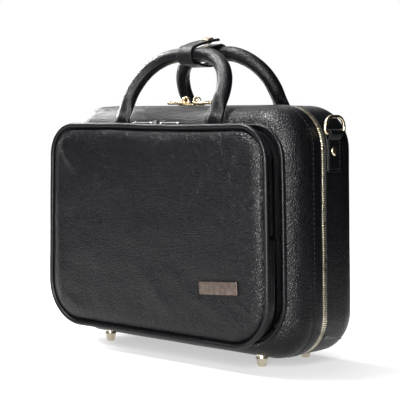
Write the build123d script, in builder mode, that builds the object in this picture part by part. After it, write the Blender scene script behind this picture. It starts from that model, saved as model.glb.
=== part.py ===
"""Oboe case: two moulded, leather-covered shells hinged along the bottom and closed by a zip.

The front shell carries a bellows pocket whose upper half folds forward, and each shell carries a
rolled leather handle. A snap strap wraps both handles. Millimetres, X across the case, Y towards
the back, Z up from the surface that the feet stand on. The zip plane is where the shells meet, and
depths are counted from it, negative to the front.
"""

import os
from math import asin, atan2, cos, degrees, radians, sin, tan

from build123d import *

os.makedirs("parts", exist_ok=True)

# Case body, as seen from the front
body_width_top = 281.0
body_width_bottom = 290.0
body_height = 217.0
corner_radius = 37.0

# Case body, as seen from the side
front_depth = 44.0
rear_depth = 52.0
edge_radius = 24.0
wall = 4.0
seam_depth = 15.5
seam_gap = 0.3
zip_half = 3.2
loose_fit = 0.3

# Main zip
teeth_inset = 1.2
teeth_thickness = 2.7
teeth_gap = 0.35
teeth_width = 2.6
tape_thickness = 1.0
tape_fit = 0.1
tape_width = 11.0
zip_end_reach = 98.0
slider_length = 13.0
slider_width = 10.0
slider_plate = 1.5
slider_left_x = -20.0
slider_right_x = -6.0
bail_radius = 5.0
bail_wire = 1.9
bail_width = 3.2
pull_length = 19.0
pull_width = 12.0
pull_wire = 1.3

# Bottom hinge and feet
hinge_cord_radius = 1.8
hinge_leaf_width = 14.0
hinge_leaf_thickness = 1.0
hinge_leaf_start = 2.6
foot_height = 8.0
foot_flange_height = 1.0
foot_top_radius = 5.4
foot_bottom_radius = 3.5
foot_inset = 18.0
foot_reach = 96.0

# Inside
tray_depth = 42.0
tray_cavity_depth = 30.0
tray_rib = 11.0
joint_width = 34.0
lower_joint_length = 252.0
upper_joint_length = 236.0
bell_length = 128.0
bell_width = 52.0
lid_pad_thickness = 5.0

# Front pocket
pocket_width_top = 264.0
pocket_width_bottom = 272.0
pocket_bottom = 22.0
pocket_top = 208.0
pocket_top_radius = 28.0
pocket_bottom_radius = 40.0
pocket_plane = 66.0
pocket_panel_thickness = 8.0
pocket_panel_edge = 6.0
pocket_piping_radius = 2.2
pocket_fold = 116.0
pocket_fold_gap = 0.4
gusset_inset = 3.0
gusset_thickness = 1.5
welt_inset = 1.6
welt_outset = 1.4
welt_depth = 44.6
pocket_zip_plane = 57.9
pocket_teeth_width = 2.5
pocket_teeth_gap = 0.2
pocket_teeth_thickness = 1.8
pocket_slider_length = 10.0
pocket_slider_width = 7.0
pocket_slider_plate = 1.2
pocket_slider_left_x = -3.0
pocket_slider_right_x = 8.0
pocket_slider_clearance = 0.6
pocket_bail_radius = 3.4
pocket_bail_wire = 1.2
pocket_bail_width = 2.4
pocket_pull_length = 22.0
pocket_pull_width = 8.0
pocket_pull_wire = 0.8
zip_end_length = 14.0
zip_end_thickness = 1.6

# Plate on the pocket
plate_width = 43.5
plate_height = 11.5
plate_thickness = 1.4
plate_x = 85.3
plate_z = 71.0
plate_tilt = 4.0

# Handles
handle_tube_radius = 6.5
handle_half_span = 57.5
handle_bend_radius = 43.0
handle_straight_length = 1.0
handle_base_length = 14.0
handle_base_width = 18.0
handle_base_thickness = 4.8
handle_tab_thickness = 2.1
handle_tab_width = 20.0
handle_tab_length = 24.0
front_seat_angle = 30.0
rear_seat_angle = 46.0
front_handle_height = 63.0
front_handle_lean = 28.0
rear_handle_height = 59.8
rear_handle_lean = 30.2

# Strap around the handles
strap_width = 18.0
strap_thickness = 2.4
strap_fit = 0.1
strap_gap = 0.4
strap_split = 1.0
flap_slope = 13.0
flap_length = 33.0
tongue_slope = 15.0
tongue_length = 14.0
snap_position = 25.0
snap_cap_radius = 6.0
snap_cap_height = 1.4
snap_socket_radius = 4.0
snap_socket_height = 0.9
snap_stud_radius = 2.2
snap_stud_height = 0.5
snap_stud_position = 9.0

# Rings on the ends of the case
ring_wire = 1.5
ring_width = 26.0
ring_height = 14.0
ring_depth = 13.0
ring_bar_fit = 0.3
ring_tab_width = 17.5
ring_tab_thickness = 2.2
ring_tab_bottom = 168.0
ring_bar_height = 201.5
rivet_height = 186.0
rivet_radius = 4.0
rivet_dome = 1.2

# Worked out from the sizes above
body_bottom = foot_height
body_top = body_bottom + body_height
pocket_reach = pocket_plane + pocket_panel_thickness / 2
teeth_top = body_top - teeth_inset
seam_front = -(seam_depth + seam_gap)
tape_inset = wall + tape_fit
lining_inset = tape_inset + tape_thickness + loose_fit
pivot_reach = edge_radius + handle_tab_thickness + loose_fit + handle_base_thickness / 2
rear_reach = rear_depth + handle_tab_thickness
zip_y = (pocket_reach + plate_thickness - rear_reach) / 2


def upright(depth):
    """The plane that faces the front at a depth counted from the zip."""
    return Plane.XZ.offset(-(zip_y + depth))


def case_sketch(depth, inset=0.0, band=0.0):
    """The case's front view, inset from its skin, whole or as a band of one thickness."""
    with BuildSketch(upright(depth)) as face:
        with BuildLine():
            Polyline(
                (-body_width_bottom / 2, body_bottom),
                (body_width_bottom / 2, body_bottom),
                (body_width_top / 2, body_top),
                (-body_width_top / 2, body_top),
                close=True,
            )
        make_face()
        fillet(face.vertices(), corner_radius)
        if inset != 0:
            offset(amount=-inset)
        if band > 0:
            offset(amount=-band, mode=Mode.SUBTRACT)
    return face.sketch


def shell_block(open_depth, far_depth, inset, radius):
    """The case's outline from an open side to a far face with a rounded edge."""
    with BuildPart() as block:
        extrude(case_sketch(open_depth, inset), amount=open_depth - far_depth)
        far_face = block.faces().sort_by(Axis.Y)[-1 if far_depth > open_depth else 0]
        fillet(far_face.edges(), radius)
    return block.part


def zip_path_band(from_depth, to_depth, inset, thickness):
    """A strip along the zip: over the top, down both ends and round to the hinge."""
    with BuildPart() as band:
        extrude(case_sketch(from_depth, inset, thickness), amount=from_depth - to_depth)
        with BuildSketch(upright(from_depth)):
            with Locations((0, body_bottom)):
                Rectangle(2 * zip_end_reach, 2 * corner_radius / 2)
        extrude(amount=from_depth - to_depth, mode=Mode.SUBTRACT)
    return band.part


def pocket_sketch(depth, inset=0.0, band=0.0):
    """The pocket's front view, inset from its piping, whole or as a band of one thickness."""
    with BuildSketch(upright(depth)) as face:
        with BuildLine():
            Polyline(
                (-pocket_width_bottom / 2, pocket_bottom),
                (pocket_width_bottom / 2, pocket_bottom),
                (pocket_width_top / 2, pocket_top),
                (-pocket_width_top / 2, pocket_top),
                close=True,
            )
        make_face()
        fillet(face.vertices().group_by(Axis.Y)[0], pocket_bottom_radius)
        fillet(face.vertices().group_by(Axis.Y)[-1], pocket_top_radius)
        if inset != 0:
            offset(amount=-inset)
        if band > 0:
            offset(amount=-band, mode=Mode.SUBTRACT)
    return face.sketch


# Everything that is sewn to the front shell is cut back by the shell's own outer shape
front_skin = shell_block(seam_front, -front_depth, 0, edge_radius)
rear_skin = shell_block(zip_half, rear_depth, 0, edge_radius)

# Rear shell, which stands still
with BuildPart() as rear_shell:
    add(rear_skin)
    add(shell_block(zip_half, rear_depth - wall, wall, edge_radius - wall), mode=Mode.SUBTRACT)
rear_shell.part.label = "rear_shell"
export_step(rear_shell.part, "parts/rear_shell.step")

# Front shell: the moulded cover behind the pocket
with BuildPart() as front_shell:
    add(front_skin)
    add(
        shell_block(seam_front, wall - front_depth, wall, edge_radius - wall),
        mode=Mode.SUBTRACT,
    )
front_shell.part.label = "front_shell"
export_step(front_shell.part, "parts/front_shell.step")

# The leather band between the front cover and the zip
with BuildPart() as front_band:
    extrude(case_sketch(-zip_half, 0, wall), amount=seam_depth - zip_half)
front_band.part.label = "front_band"
export_step(front_band.part, "parts/front_band.step")

# Plush pad inside the front shell
lid_pad_skin = wall + loose_fit
lid_pad_face = lid_pad_skin + lid_pad_thickness
with BuildPart() as lid_pad:
    add(
        shell_block(
            seam_front, lid_pad_skin - front_depth, lid_pad_skin, edge_radius - lid_pad_skin
        )
    )
    add(
        shell_block(
            seam_front, lid_pad_face - front_depth, lid_pad_face, edge_radius - lid_pad_face
        ),
        mode=Mode.SUBTRACT,
    )
lid_pad.part.label = "lid_pad"
export_step(lid_pad.part, "parts/lid_pad.step")

# Zip tapes behind the leather edges, and the rows of teeth on them
zip_bands = (
    ("rear_zip_tape", teeth_gap, teeth_gap + tape_width, tape_inset, tape_thickness),
    ("front_zip_tape", -teeth_gap, -teeth_gap - tape_width, tape_inset, tape_thickness),
    ("rear_zip_teeth", teeth_gap, teeth_gap + teeth_width, teeth_inset, teeth_thickness),
    ("front_zip_teeth", -teeth_gap, -teeth_gap - teeth_width, teeth_inset, teeth_thickness),
)
for band_name, band_from, band_to, band_inset, band_thickness in zip_bands:
    with BuildPart() as zip_band:
        add(zip_path_band(band_from, band_to, band_inset, band_thickness))
    zip_band.part.label = band_name
    export_step(zip_band.part, f"parts/{band_name}.step")

# Foam tray with a plush cover: lower joint, upper joint, bell and a box for reeds
tray_back = rear_depth - wall - loose_fit
tray_front = tray_back - tray_depth
bell_row_z = body_bottom + lining_inset + tray_rib + bell_width / 2
upper_row_z = bell_row_z + bell_width / 2 + tray_rib + joint_width / 2
lower_row_z = upper_row_z + joint_width + tray_rib
reed_length = lower_joint_length - bell_length - tray_rib
cavity_rows = (
    (0.0, lower_row_z, lower_joint_length, joint_width),
    (0.0, upper_row_z, upper_joint_length, joint_width),
    ((bell_length - lower_joint_length) / 2, bell_row_z, bell_length, bell_width),
    ((lower_joint_length - reed_length) / 2, bell_row_z, reed_length, bell_width),
)
with BuildPart() as instrument_tray:
    add(shell_block(tray_front, tray_back, lining_inset, edge_radius - wall))
    for cavity_x, cavity_z, cavity_length, cavity_width in cavity_rows:
        with BuildSketch(upright(tray_front)):
            with Locations((cavity_x, cavity_z)):
                RectangleRounded(cavity_length, cavity_width, cavity_width / 4)
        extrude(amount=-tray_cavity_depth, mode=Mode.SUBTRACT)
instrument_tray.part.label = "instrument_tray"
export_step(instrument_tray.part, "parts/instrument_tray.step")

# Hinge along the bottom: a leather bead on the axis and a leaf under each shell
with BuildPart() as hinge_bead:
    with BuildSketch(Plane.YZ.offset(-zip_end_reach)):
        with Locations((zip_y, body_bottom)):
            Circle(hinge_cord_radius)
    extrude(amount=2 * zip_end_reach)
hinge_bead.part.label = "hinge_bead"
export_step(hinge_bead.part, "parts/hinge_bead.step")

for leaf_name, leaf_side in (("rear_hinge_leaf", 1), ("front_hinge_leaf", -1)):
    leaf_middle = zip_y + leaf_side * (hinge_leaf_start + hinge_leaf_width / 2)
    with BuildPart() as hinge_leaf:
        with BuildSketch(Plane.XY.offset(body_bottom - hinge_leaf_thickness)):
            with Locations((0, leaf_middle)):
                Rectangle(2 * (zip_end_reach - foot_top_radius), hinge_leaf_width)
        extrude(amount=hinge_leaf_thickness)
    hinge_leaf.part.label = leaf_name
    export_step(hinge_leaf.part, f"parts/{leaf_name}.step")

# Feet: turned metal studs, seated on the rounded lower edge of each shell
for feet_name, feet_depth, feet_skin in (
    ("rear_feet", rear_depth - foot_inset, rear_skin),
    ("front_feet", foot_inset - front_depth, front_skin),
):
    foot_y = zip_y + feet_depth
    with BuildPart() as feet:
        for foot_x in (-foot_reach, foot_reach):
            with BuildSketch(Plane(origin=(foot_x, foot_y, 0))):
                Circle(foot_bottom_radius)
            with BuildSketch(Plane(origin=(foot_x, foot_y, foot_height - foot_flange_height))):
                Circle(foot_top_radius)
            loft()
            with BuildSketch(Plane(origin=(foot_x, foot_y, foot_height - foot_flange_height))):
                Circle(foot_top_radius)
            extrude(amount=foot_top_radius)
        add(feet_skin, mode=Mode.SUBTRACT)
    feet.part.label = feet_name
    export_step(feet.part, f"parts/{feet_name}.step")

# Main zip sliders: a plate over the teeth, a web between the rows and a round bail on top
slider_plate_z = body_top + loose_fit
bail_z = slider_plate_z + slider_plate
bail_hole = bail_radius - bail_wire
pull_z = bail_z + pull_wire + loose_fit
for slider_name, pull_name, slider_x, pull_side in (
    ("main_slider_left", "main_pull_left", slider_left_x, -1),
    ("main_slider_right", "main_pull_right", slider_right_x, 1),
):
    with BuildPart() as slider:
        with BuildSketch(Plane.XY.offset(slider_plate_z)):
            with Locations((slider_x, zip_y)):
                RectangleRounded(slider_length, slider_width, slider_width / 4)
        extrude(amount=slider_plate)
        with BuildSketch(Plane.XY.offset(slider_plate_z)):
            with Locations((slider_x, zip_y)):
                Rectangle(slider_length - slider_width / 2, teeth_gap)
        extrude(amount=teeth_top - teeth_thickness - slider_plate_z)
        with BuildSketch(upright(-bail_width / 2)) as bail:
            with Locations((slider_x, bail_z)):
                Circle(bail_radius)
                Circle(bail_hole, mode=Mode.SUBTRACT)
            with Locations((slider_x, bail_z - bail_radius)):
                Rectangle(2 * bail_radius, 2 * bail_radius, mode=Mode.SUBTRACT)
        extrude(amount=-bail_width)
    slider.part.label = slider_name
    export_step(slider.part, f"parts/{slider_name}.step")

    with BuildPart() as pull:
        with BuildLine(Plane.XY.offset(pull_z)) as pull_path:
            FilletPolyline(
                (slider_x, zip_y - pull_width / 2),
                (slider_x, zip_y + pull_width / 2),
                (slider_x + pull_side * pull_length, zip_y + pull_width / 2),
                (slider_x + pull_side * pull_length, zip_y - pull_width / 2),
                radius=2 * pull_wire,
                close=True,
            )
        with BuildSketch(Plane(origin=pull_path.line @ 0, z_dir=pull_path.line % 0)):
            Circle(pull_wire)
        sweep()
    pull.part.label = pull_name
    export_step(pull.part, f"parts/{pull_name}.step")


def handle_pivot(pivot_side, seat_angle):
    """Where a handle's flattened ends bend, just off the shell's rounded top edge."""
    shell_face = front_depth if pivot_side < 0 else rear_depth
    pivot_depth = shell_face - edge_radius + pivot_reach * cos(radians(seat_angle))
    pivot_height = body_top - edge_radius + pivot_reach * sin(radians(seat_angle))
    return (zip_y + pivot_side * pivot_depth, pivot_height)


def handle_tab(pivot_side, seat_angle, grow=0.0):
    """Both leather tabs of one handle, bent over the shell's rounded top edge and down its face."""
    shell_face = front_depth if pivot_side < 0 else rear_depth
    centre_y = zip_y + pivot_side * (shell_face - edge_radius)
    centre_z = body_top - edge_radius
    face_y = zip_y + pivot_side * shell_face
    outer = edge_radius + handle_tab_thickness + grow
    tip_y = centre_y + pivot_side * 2 * outer * cos(radians(seat_angle))
    tip_z = centre_z + 2 * outer * sin(radians(seat_angle))
    with BuildPart() as tabs:
        with BuildSketch(Plane.YZ.offset(handle_half_span)):
            with BuildLine():
                Polyline(
                    (centre_y, centre_z),
                    (tip_y, tip_z),
                    (centre_y + pivot_side * 2 * outer, centre_z),
                    close=True,
                )
            make_face()
            with Locations((centre_y, centre_z)):
                Circle(outer, mode=Mode.INTERSECT)
            with Locations((face_y, centre_z - handle_tab_length / 2)):
                Rectangle(
                    2 * (handle_tab_thickness + grow),
                    handle_tab_length,
                )
        extrude(amount=handle_tab_width / 2 + grow, both=True)
        mirror(about=Plane.YZ)
        add(front_skin if pivot_side < 0 else rear_skin, mode=Mode.SUBTRACT)
    return tabs.part


# Handles: rolled leather tubes whose flattened ends bend at the top of the tabs
handles = (
    ("front_handle", -1, front_seat_angle, front_handle_lean, front_handle_height),
    ("rear_handle", 1, rear_seat_angle, rear_handle_lean, rear_handle_height),
)
tube_tops = {}
for handle_name, side, seat, lean, height in handles:
    with BuildPart() as handle_tabs:
        add(handle_tab(side, seat))
    handle_tabs.part.label = f"{handle_name}_tabs"
    export_step(handle_tabs.part, f"parts/{handle_name}_tabs.step")

    pivot_y, pivot_z = handle_pivot(side, seat)
    lean_y = -side * sin(radians(lean))
    lean_z = cos(radians(lean))
    tube_tops[handle_name] = (pivot_y + height * lean_y, pivot_z + height * lean_z)
    handle_plane = Plane(origin=(0, pivot_y, pivot_z), x_dir=(1, 0, 0), z_dir=(0, -lean_z, lean_y))
    with BuildPart() as handle:
        with BuildLine(handle_plane) as tube_path:
            FilletPolyline(
                (-handle_half_span, handle_base_length),
                (-handle_half_span, height),
                (handle_half_span, height),
                (handle_half_span, handle_base_length),
                radius=min(handle_bend_radius, height - handle_base_length - handle_straight_length),
            )
        with BuildSketch(Plane(origin=tube_path.line @ 0, z_dir=tube_path.line % 0)):
            Circle(handle_tube_radius)
        sweep()
        for end_x in (-handle_half_span, handle_half_span):
            end_point = handle_plane.from_local_coords(Vector(end_x, 0, 0))
            base_plane = Plane(origin=end_point, x_dir=(1, 0, 0), z_dir=(0, lean_y, lean_z))
            with BuildSketch(base_plane):
                Ellipse(handle_base_width / 2, handle_base_thickness / 2)
            with BuildSketch(base_plane.offset(handle_base_length)):
                Circle(handle_tube_radius)
            loft()
            with BuildSketch(Plane.YZ.offset(end_x)):
                with Locations((pivot_y, pivot_z)):
                    Circle(handle_base_thickness / 2)
            extrude(amount=handle_base_width / 2, both=True)
    handle.part.label = handle_name
    export_step(handle.part, f"parts/{handle_name}.step")

# Strap around both handles: half on each handle, split underneath. A flap on the front half
# reaches over a tongue on the rear half.
front_top_y, front_top_z = tube_tops["front_handle"]
rear_top_y, rear_top_z = tube_tops["rear_handle"]
strap_radius = handle_tube_radius + strap_fit + strap_thickness / 2
under_slope = degrees(atan2(rear_top_z - front_top_z, rear_top_y - front_top_y))
flap_angle = 90 + flap_slope
end_setback = strap_thickness / 2 + strap_gap / 2
flap_setback = degrees(end_setback / strap_radius)
split_y = zip_y + strap_split


def on_tube(centre_y, centre_z, angle, radius):
    """A point round a handle tube, by its angle above the way to the back."""
    return (centre_y + radius * cos(radians(angle)), centre_z + radius * sin(radians(angle)))


def under_point(y):
    """A point of the strap's middle line on the straight run under both tubes."""
    start_y, start_z = on_tube(front_top_y, front_top_z, under_slope - 90, strap_radius)
    return (y, start_z + (y - start_y) * tan(radians(under_slope)))


with BuildPart() as wrap_front:
    with BuildSketch(Plane.YZ):
        with BuildLine():
            CenterArc(
                (front_top_y, front_top_z),
                strap_radius,
                flap_angle + flap_setback,
                180 - flap_slope - flap_setback + under_slope,
            )
            Line(
                on_tube(front_top_y, front_top_z, under_slope - 90, strap_radius),
                under_point(split_y - end_setback),
            )
        trace(line_width=strap_thickness)
    extrude(amount=strap_width / 2, both=True)
wrap_front.part.label = "wrap_front"
export_step(wrap_front.part, "parts/wrap_front.step")

tongue_start = on_tube(rear_top_y, rear_top_z, 90 + tongue_slope, strap_radius)
tongue_run = (-cos(radians(tongue_slope)), -sin(radians(tongue_slope)))
with BuildPart() as wrap_rear:
    with BuildSketch(Plane.YZ):
        with BuildLine():
            Line(
                under_point(split_y + end_setback),
                on_tube(rear_top_y, rear_top_z, under_slope - 90, strap_radius),
            )
            CenterArc(
                (rear_top_y, rear_top_z),
                strap_radius,
                under_slope - 90,
                180 + tongue_slope - under_slope,
            )
            Line(
                tongue_start,
                (
                    tongue_start[0] + tongue_length * tongue_run[0],
                    tongue_start[1] + tongue_length * tongue_run[1],
                ),
            )
        trace(line_width=strap_thickness)
    extrude(amount=strap_width / 2, both=True)
wrap_rear.part.label = "wrap_rear"
export_step(wrap_rear.part, "parts/wrap_rear.step")

flap_start = on_tube(front_top_y, front_top_z, flap_angle, strap_radius)
flap_run = (cos(radians(flap_slope)), sin(radians(flap_slope)))
with BuildPart() as wrap_flap:
    with BuildSketch(Plane.YZ):
        with BuildLine():
            Line(
                (
                    flap_start[0] + end_setback * flap_run[0],
                    flap_start[1] + end_setback * flap_run[1],
                ),
                (
                    flap_start[0] + flap_length * flap_run[0],
                    flap_start[1] + flap_length * flap_run[1],
                ),
            )
        trace(line_width=strap_thickness)
    extrude(amount=strap_width / 2, both=True)
wrap_flap.part.label = "wrap_flap"
export_step(wrap_flap.part, "parts/wrap_flap.step")

# Snap: cap and socket on the flap, stud on the tongue below it
snap_origin = (
    0,
    flap_start[0] + snap_position * flap_run[0],
    flap_start[1] + snap_position * flap_run[1],
)
snap_plane = Plane(origin=snap_origin, x_dir=(1, 0, 0), z_dir=(0, -flap_run[1], flap_run[0]))
with BuildPart() as snap_cap:
    with BuildSketch(snap_plane.offset(strap_thickness / 2)):
        Circle(snap_cap_radius)
    extrude(amount=snap_cap_height)
    fillet(snap_cap.edges().sort_by(Axis.Z)[-1], snap_cap_height / 2)
snap_cap.part.label = "snap_cap"
export_step(snap_cap.part, "parts/snap_cap.step")

with BuildPart() as snap_socket:
    with BuildSketch(snap_plane.offset(-strap_thickness / 2)):
        Circle(snap_socket_radius)
        Circle(snap_stud_radius + loose_fit, mode=Mode.SUBTRACT)
    extrude(amount=-snap_socket_height)
snap_socket.part.label = "snap_socket"
export_step(snap_socket.part, "parts/snap_socket.step")

stud_origin = (
    0,
    tongue_start[0] + snap_stud_position * tongue_run[0],
    tongue_start[1] + snap_stud_position * tongue_run[1],
)
stud_plane = Plane(origin=stud_origin, x_dir=(1, 0, 0), z_dir=(0, tongue_run[1], -tongue_run[0]))
with BuildPart() as snap_stud:
    with BuildSketch(stud_plane.offset(strap_thickness / 2)):
        Circle(snap_stud_radius)
    extrude(amount=snap_stud_height)
snap_stud.part.label = "snap_stud"
export_step(snap_stud.part, "parts/snap_stud.step")

# Pocket: a filled front panel, split where it folds
fold_plane = Plane.XY.offset(pocket_fold)
pocket_back = pocket_panel_thickness / 2 - pocket_plane
tab_clearance = handle_tab(-1, front_seat_angle, loose_fit)
for panel_name, panel_side in (("pocket_panel", -1), ("pocket_flap", 1)):
    with BuildPart() as pocket_panel:
        extrude(
            pocket_sketch(pocket_back, pocket_piping_radius + loose_fit),
            amount=pocket_panel_thickness,
        )
        fillet(pocket_panel.faces().sort_by(Axis.Y)[0].edges(), pocket_panel_edge)
        split(
            bisect_by=fold_plane.offset(panel_side * pocket_fold_gap / 2),
            keep=Keep.TOP if panel_side > 0 else Keep.BOTTOM,
        )
    pocket_panel.part.label = panel_name
    export_step(pocket_panel.part, f"parts/{panel_name}.step")

# Piping round the front panel
piping_path = pocket_sketch(-pocket_plane).wires()[0]
for piping_name, piping_side in (("pocket_piping", -1), ("pocket_flap_piping", 1)):
    with BuildPart() as piping:
        with BuildSketch(Plane(origin=piping_path @ 0, z_dir=piping_path % 0)):
            Circle(pocket_piping_radius)
        sweep(path=piping_path)
        split(
            bisect_by=fold_plane.offset(piping_side * pocket_fold_gap / 2),
            keep=Keep.TOP if piping_side > 0 else Keep.BOTTOM,
        )
    piping.part.label = piping_name
    export_step(piping.part, f"parts/{piping_name}.step")

# Bellows sides: whole below the fold, and above it split by the pocket's own zip
zip_middle = -pocket_zip_plane
gusset_front = pocket_back + loose_fit
with BuildPart() as pocket_gusset:
    extrude(
        pocket_sketch(-edge_radius, gusset_inset, gusset_thickness),
        amount=-edge_radius - zip_middle - pocket_teeth_gap,
    )
    extrude(
        pocket_sketch(zip_middle + pocket_teeth_gap, gusset_inset, gusset_thickness),
        amount=zip_middle + pocket_teeth_gap - gusset_front,
    )
    with BuildSketch(upright(zip_middle + pocket_teeth_gap)):
        with Locations((0, pocket_fold - pocket_fold_gap / 2 + pocket_top / 2)):
            Rectangle(pocket_width_bottom, pocket_top)
    extrude(amount=zip_middle + pocket_teeth_gap - gusset_front, mode=Mode.SUBTRACT)
    add(front_skin, mode=Mode.SUBTRACT)
    add(tab_clearance, mode=Mode.SUBTRACT)
pocket_gusset.part.label = "pocket_gusset"
export_step(pocket_gusset.part, "parts/pocket_gusset.step")

with BuildPart() as pocket_flap_gusset:
    extrude(
        pocket_sketch(zip_middle - pocket_teeth_gap, gusset_inset, gusset_thickness),
        amount=zip_middle - pocket_teeth_gap - gusset_front,
    )
    split(bisect_by=fold_plane.offset(pocket_fold_gap / 2), keep=Keep.TOP)
pocket_flap_gusset.part.label = "pocket_flap_gusset"
export_step(pocket_flap_gusset.part, "parts/pocket_flap_gusset.step")

# Welt that joins the bellows to the shell
with BuildPart() as pocket_welt:
    extrude(
        pocket_sketch(-edge_radius, -welt_outset, welt_outset + welt_inset),
        amount=welt_depth - edge_radius,
    )
    add(front_skin, mode=Mode.SUBTRACT)
    add(tab_clearance, mode=Mode.SUBTRACT)
pocket_welt.part.label = "pocket_welt"
export_step(pocket_welt.part, "parts/pocket_welt.step")

# The pocket zip's two rows, down both sides as far as the fold
pocket_teeth_inset = gusset_inset - pocket_teeth_thickness
for row_name, row_side in (("pocket_zip_rear", 1), ("pocket_zip_front", -1)):
    row_depth = zip_middle + row_side * pocket_teeth_gap
    with BuildPart() as zip_row:
        extrude(
            pocket_sketch(row_depth, pocket_teeth_inset, pocket_teeth_thickness),
            amount=-row_side * pocket_teeth_width,
        )
        split(bisect_by=fold_plane.offset(pocket_fold_gap / 2), keep=Keep.TOP)
    zip_row.part.label = row_name
    export_step(zip_row.part, f"parts/{row_name}.step")

# Leather tabs that close the lower ends of the pocket zip
with BuildPart() as pocket_zip_ends:
    extrude(
        pocket_sketch(
            zip_middle + pocket_teeth_width,
            gusset_inset - zip_end_thickness,
            zip_end_thickness,
        ),
        amount=2 * pocket_teeth_width,
    )
    split(bisect_by=fold_plane.offset(-pocket_fold_gap / 2), keep=Keep.BOTTOM)
    split(bisect_by=fold_plane.offset(-zip_end_length), keep=Keep.TOP)
pocket_zip_ends.part.label = "pocket_zip_ends"
export_step(pocket_zip_ends.part, "parts/pocket_zip_ends.step")

# Pocket zip sliders with flat wire pulls
pocket_plate_z = pocket_top - pocket_teeth_inset + pocket_slider_clearance
pocket_bail_z = pocket_plate_z + pocket_slider_plate
pocket_bail_hole = pocket_bail_radius - pocket_bail_wire
pocket_pull_z = pocket_bail_z + pocket_pull_wire + loose_fit
pocket_zip_y = zip_y + zip_middle
for slider_name, pull_name, slider_x, pull_side in (
    ("pocket_slider_left", "pocket_pull_left", pocket_slider_left_x, -1),
    ("pocket_slider_right", "pocket_pull_right", pocket_slider_right_x, 1),
):
    with BuildPart() as slider:
        with BuildSketch(Plane.XY.offset(pocket_plate_z)):
            with Locations((slider_x, pocket_zip_y)):
                RectangleRounded(
                    pocket_slider_length, pocket_slider_width, pocket_slider_width / 4
                )
        extrude(amount=pocket_slider_plate)
        with BuildSketch(upright(zip_middle - pocket_bail_width / 2)):
            with Locations((slider_x, pocket_bail_z)):
                Circle(pocket_bail_radius)
                Circle(pocket_bail_hole, mode=Mode.SUBTRACT)
            with Locations((slider_x, pocket_bail_z - pocket_bail_radius)):
                Rectangle(
                    2 * pocket_bail_radius, 2 * pocket_bail_radius, mode=Mode.SUBTRACT
                )
        extrude(amount=-pocket_bail_width)
    slider.part.label = slider_name
    export_step(slider.part, f"parts/{slider_name}.step")

    pull_end_x = slider_x + pull_side * pocket_pull_length
    with BuildPart() as pull:
        with BuildLine(Plane.XY.offset(pocket_pull_z)) as pull_path:
            FilletPolyline(
                (slider_x, pocket_zip_y - pocket_pull_width / 2),
                (slider_x, pocket_zip_y + pocket_pull_width / 2),
                (pull_end_x, pocket_zip_y + pocket_pull_width / 2),
                (pull_end_x, pocket_zip_y - pocket_pull_width / 2),
                radius=2 * pocket_pull_wire,
                close=True,
            )
        with BuildSketch(Plane(origin=pull_path.line @ 0, z_dir=pull_path.line % 0)):
            Circle(pocket_pull_wire)
        sweep()
    pull.part.label = pull_name
    export_step(pull.part, f"parts/{pull_name}.step")

# Bare metal plate on the pocket, a little askew as the soft panel lets it be
plate_plane = Plane(
    origin=(plate_x, zip_y - pocket_reach, plate_z),
    x_dir=(cos(radians(plate_tilt)), 0, sin(radians(plate_tilt))),
    z_dir=(0, -1, 0),
)
with BuildPart() as pocket_plate:
    with BuildSketch(plate_plane):
        RectangleRounded(plate_width, plate_height, plate_thickness / 2)
    extrude(amount=plate_thickness)
    chamfer(pocket_plate.faces().sort_by(Axis.Y)[0].edges(), plate_thickness / 3)
pocket_plate.part.label = "pocket_plate"
export_step(pocket_plate.part, "parts/pocket_plate.step")

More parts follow.
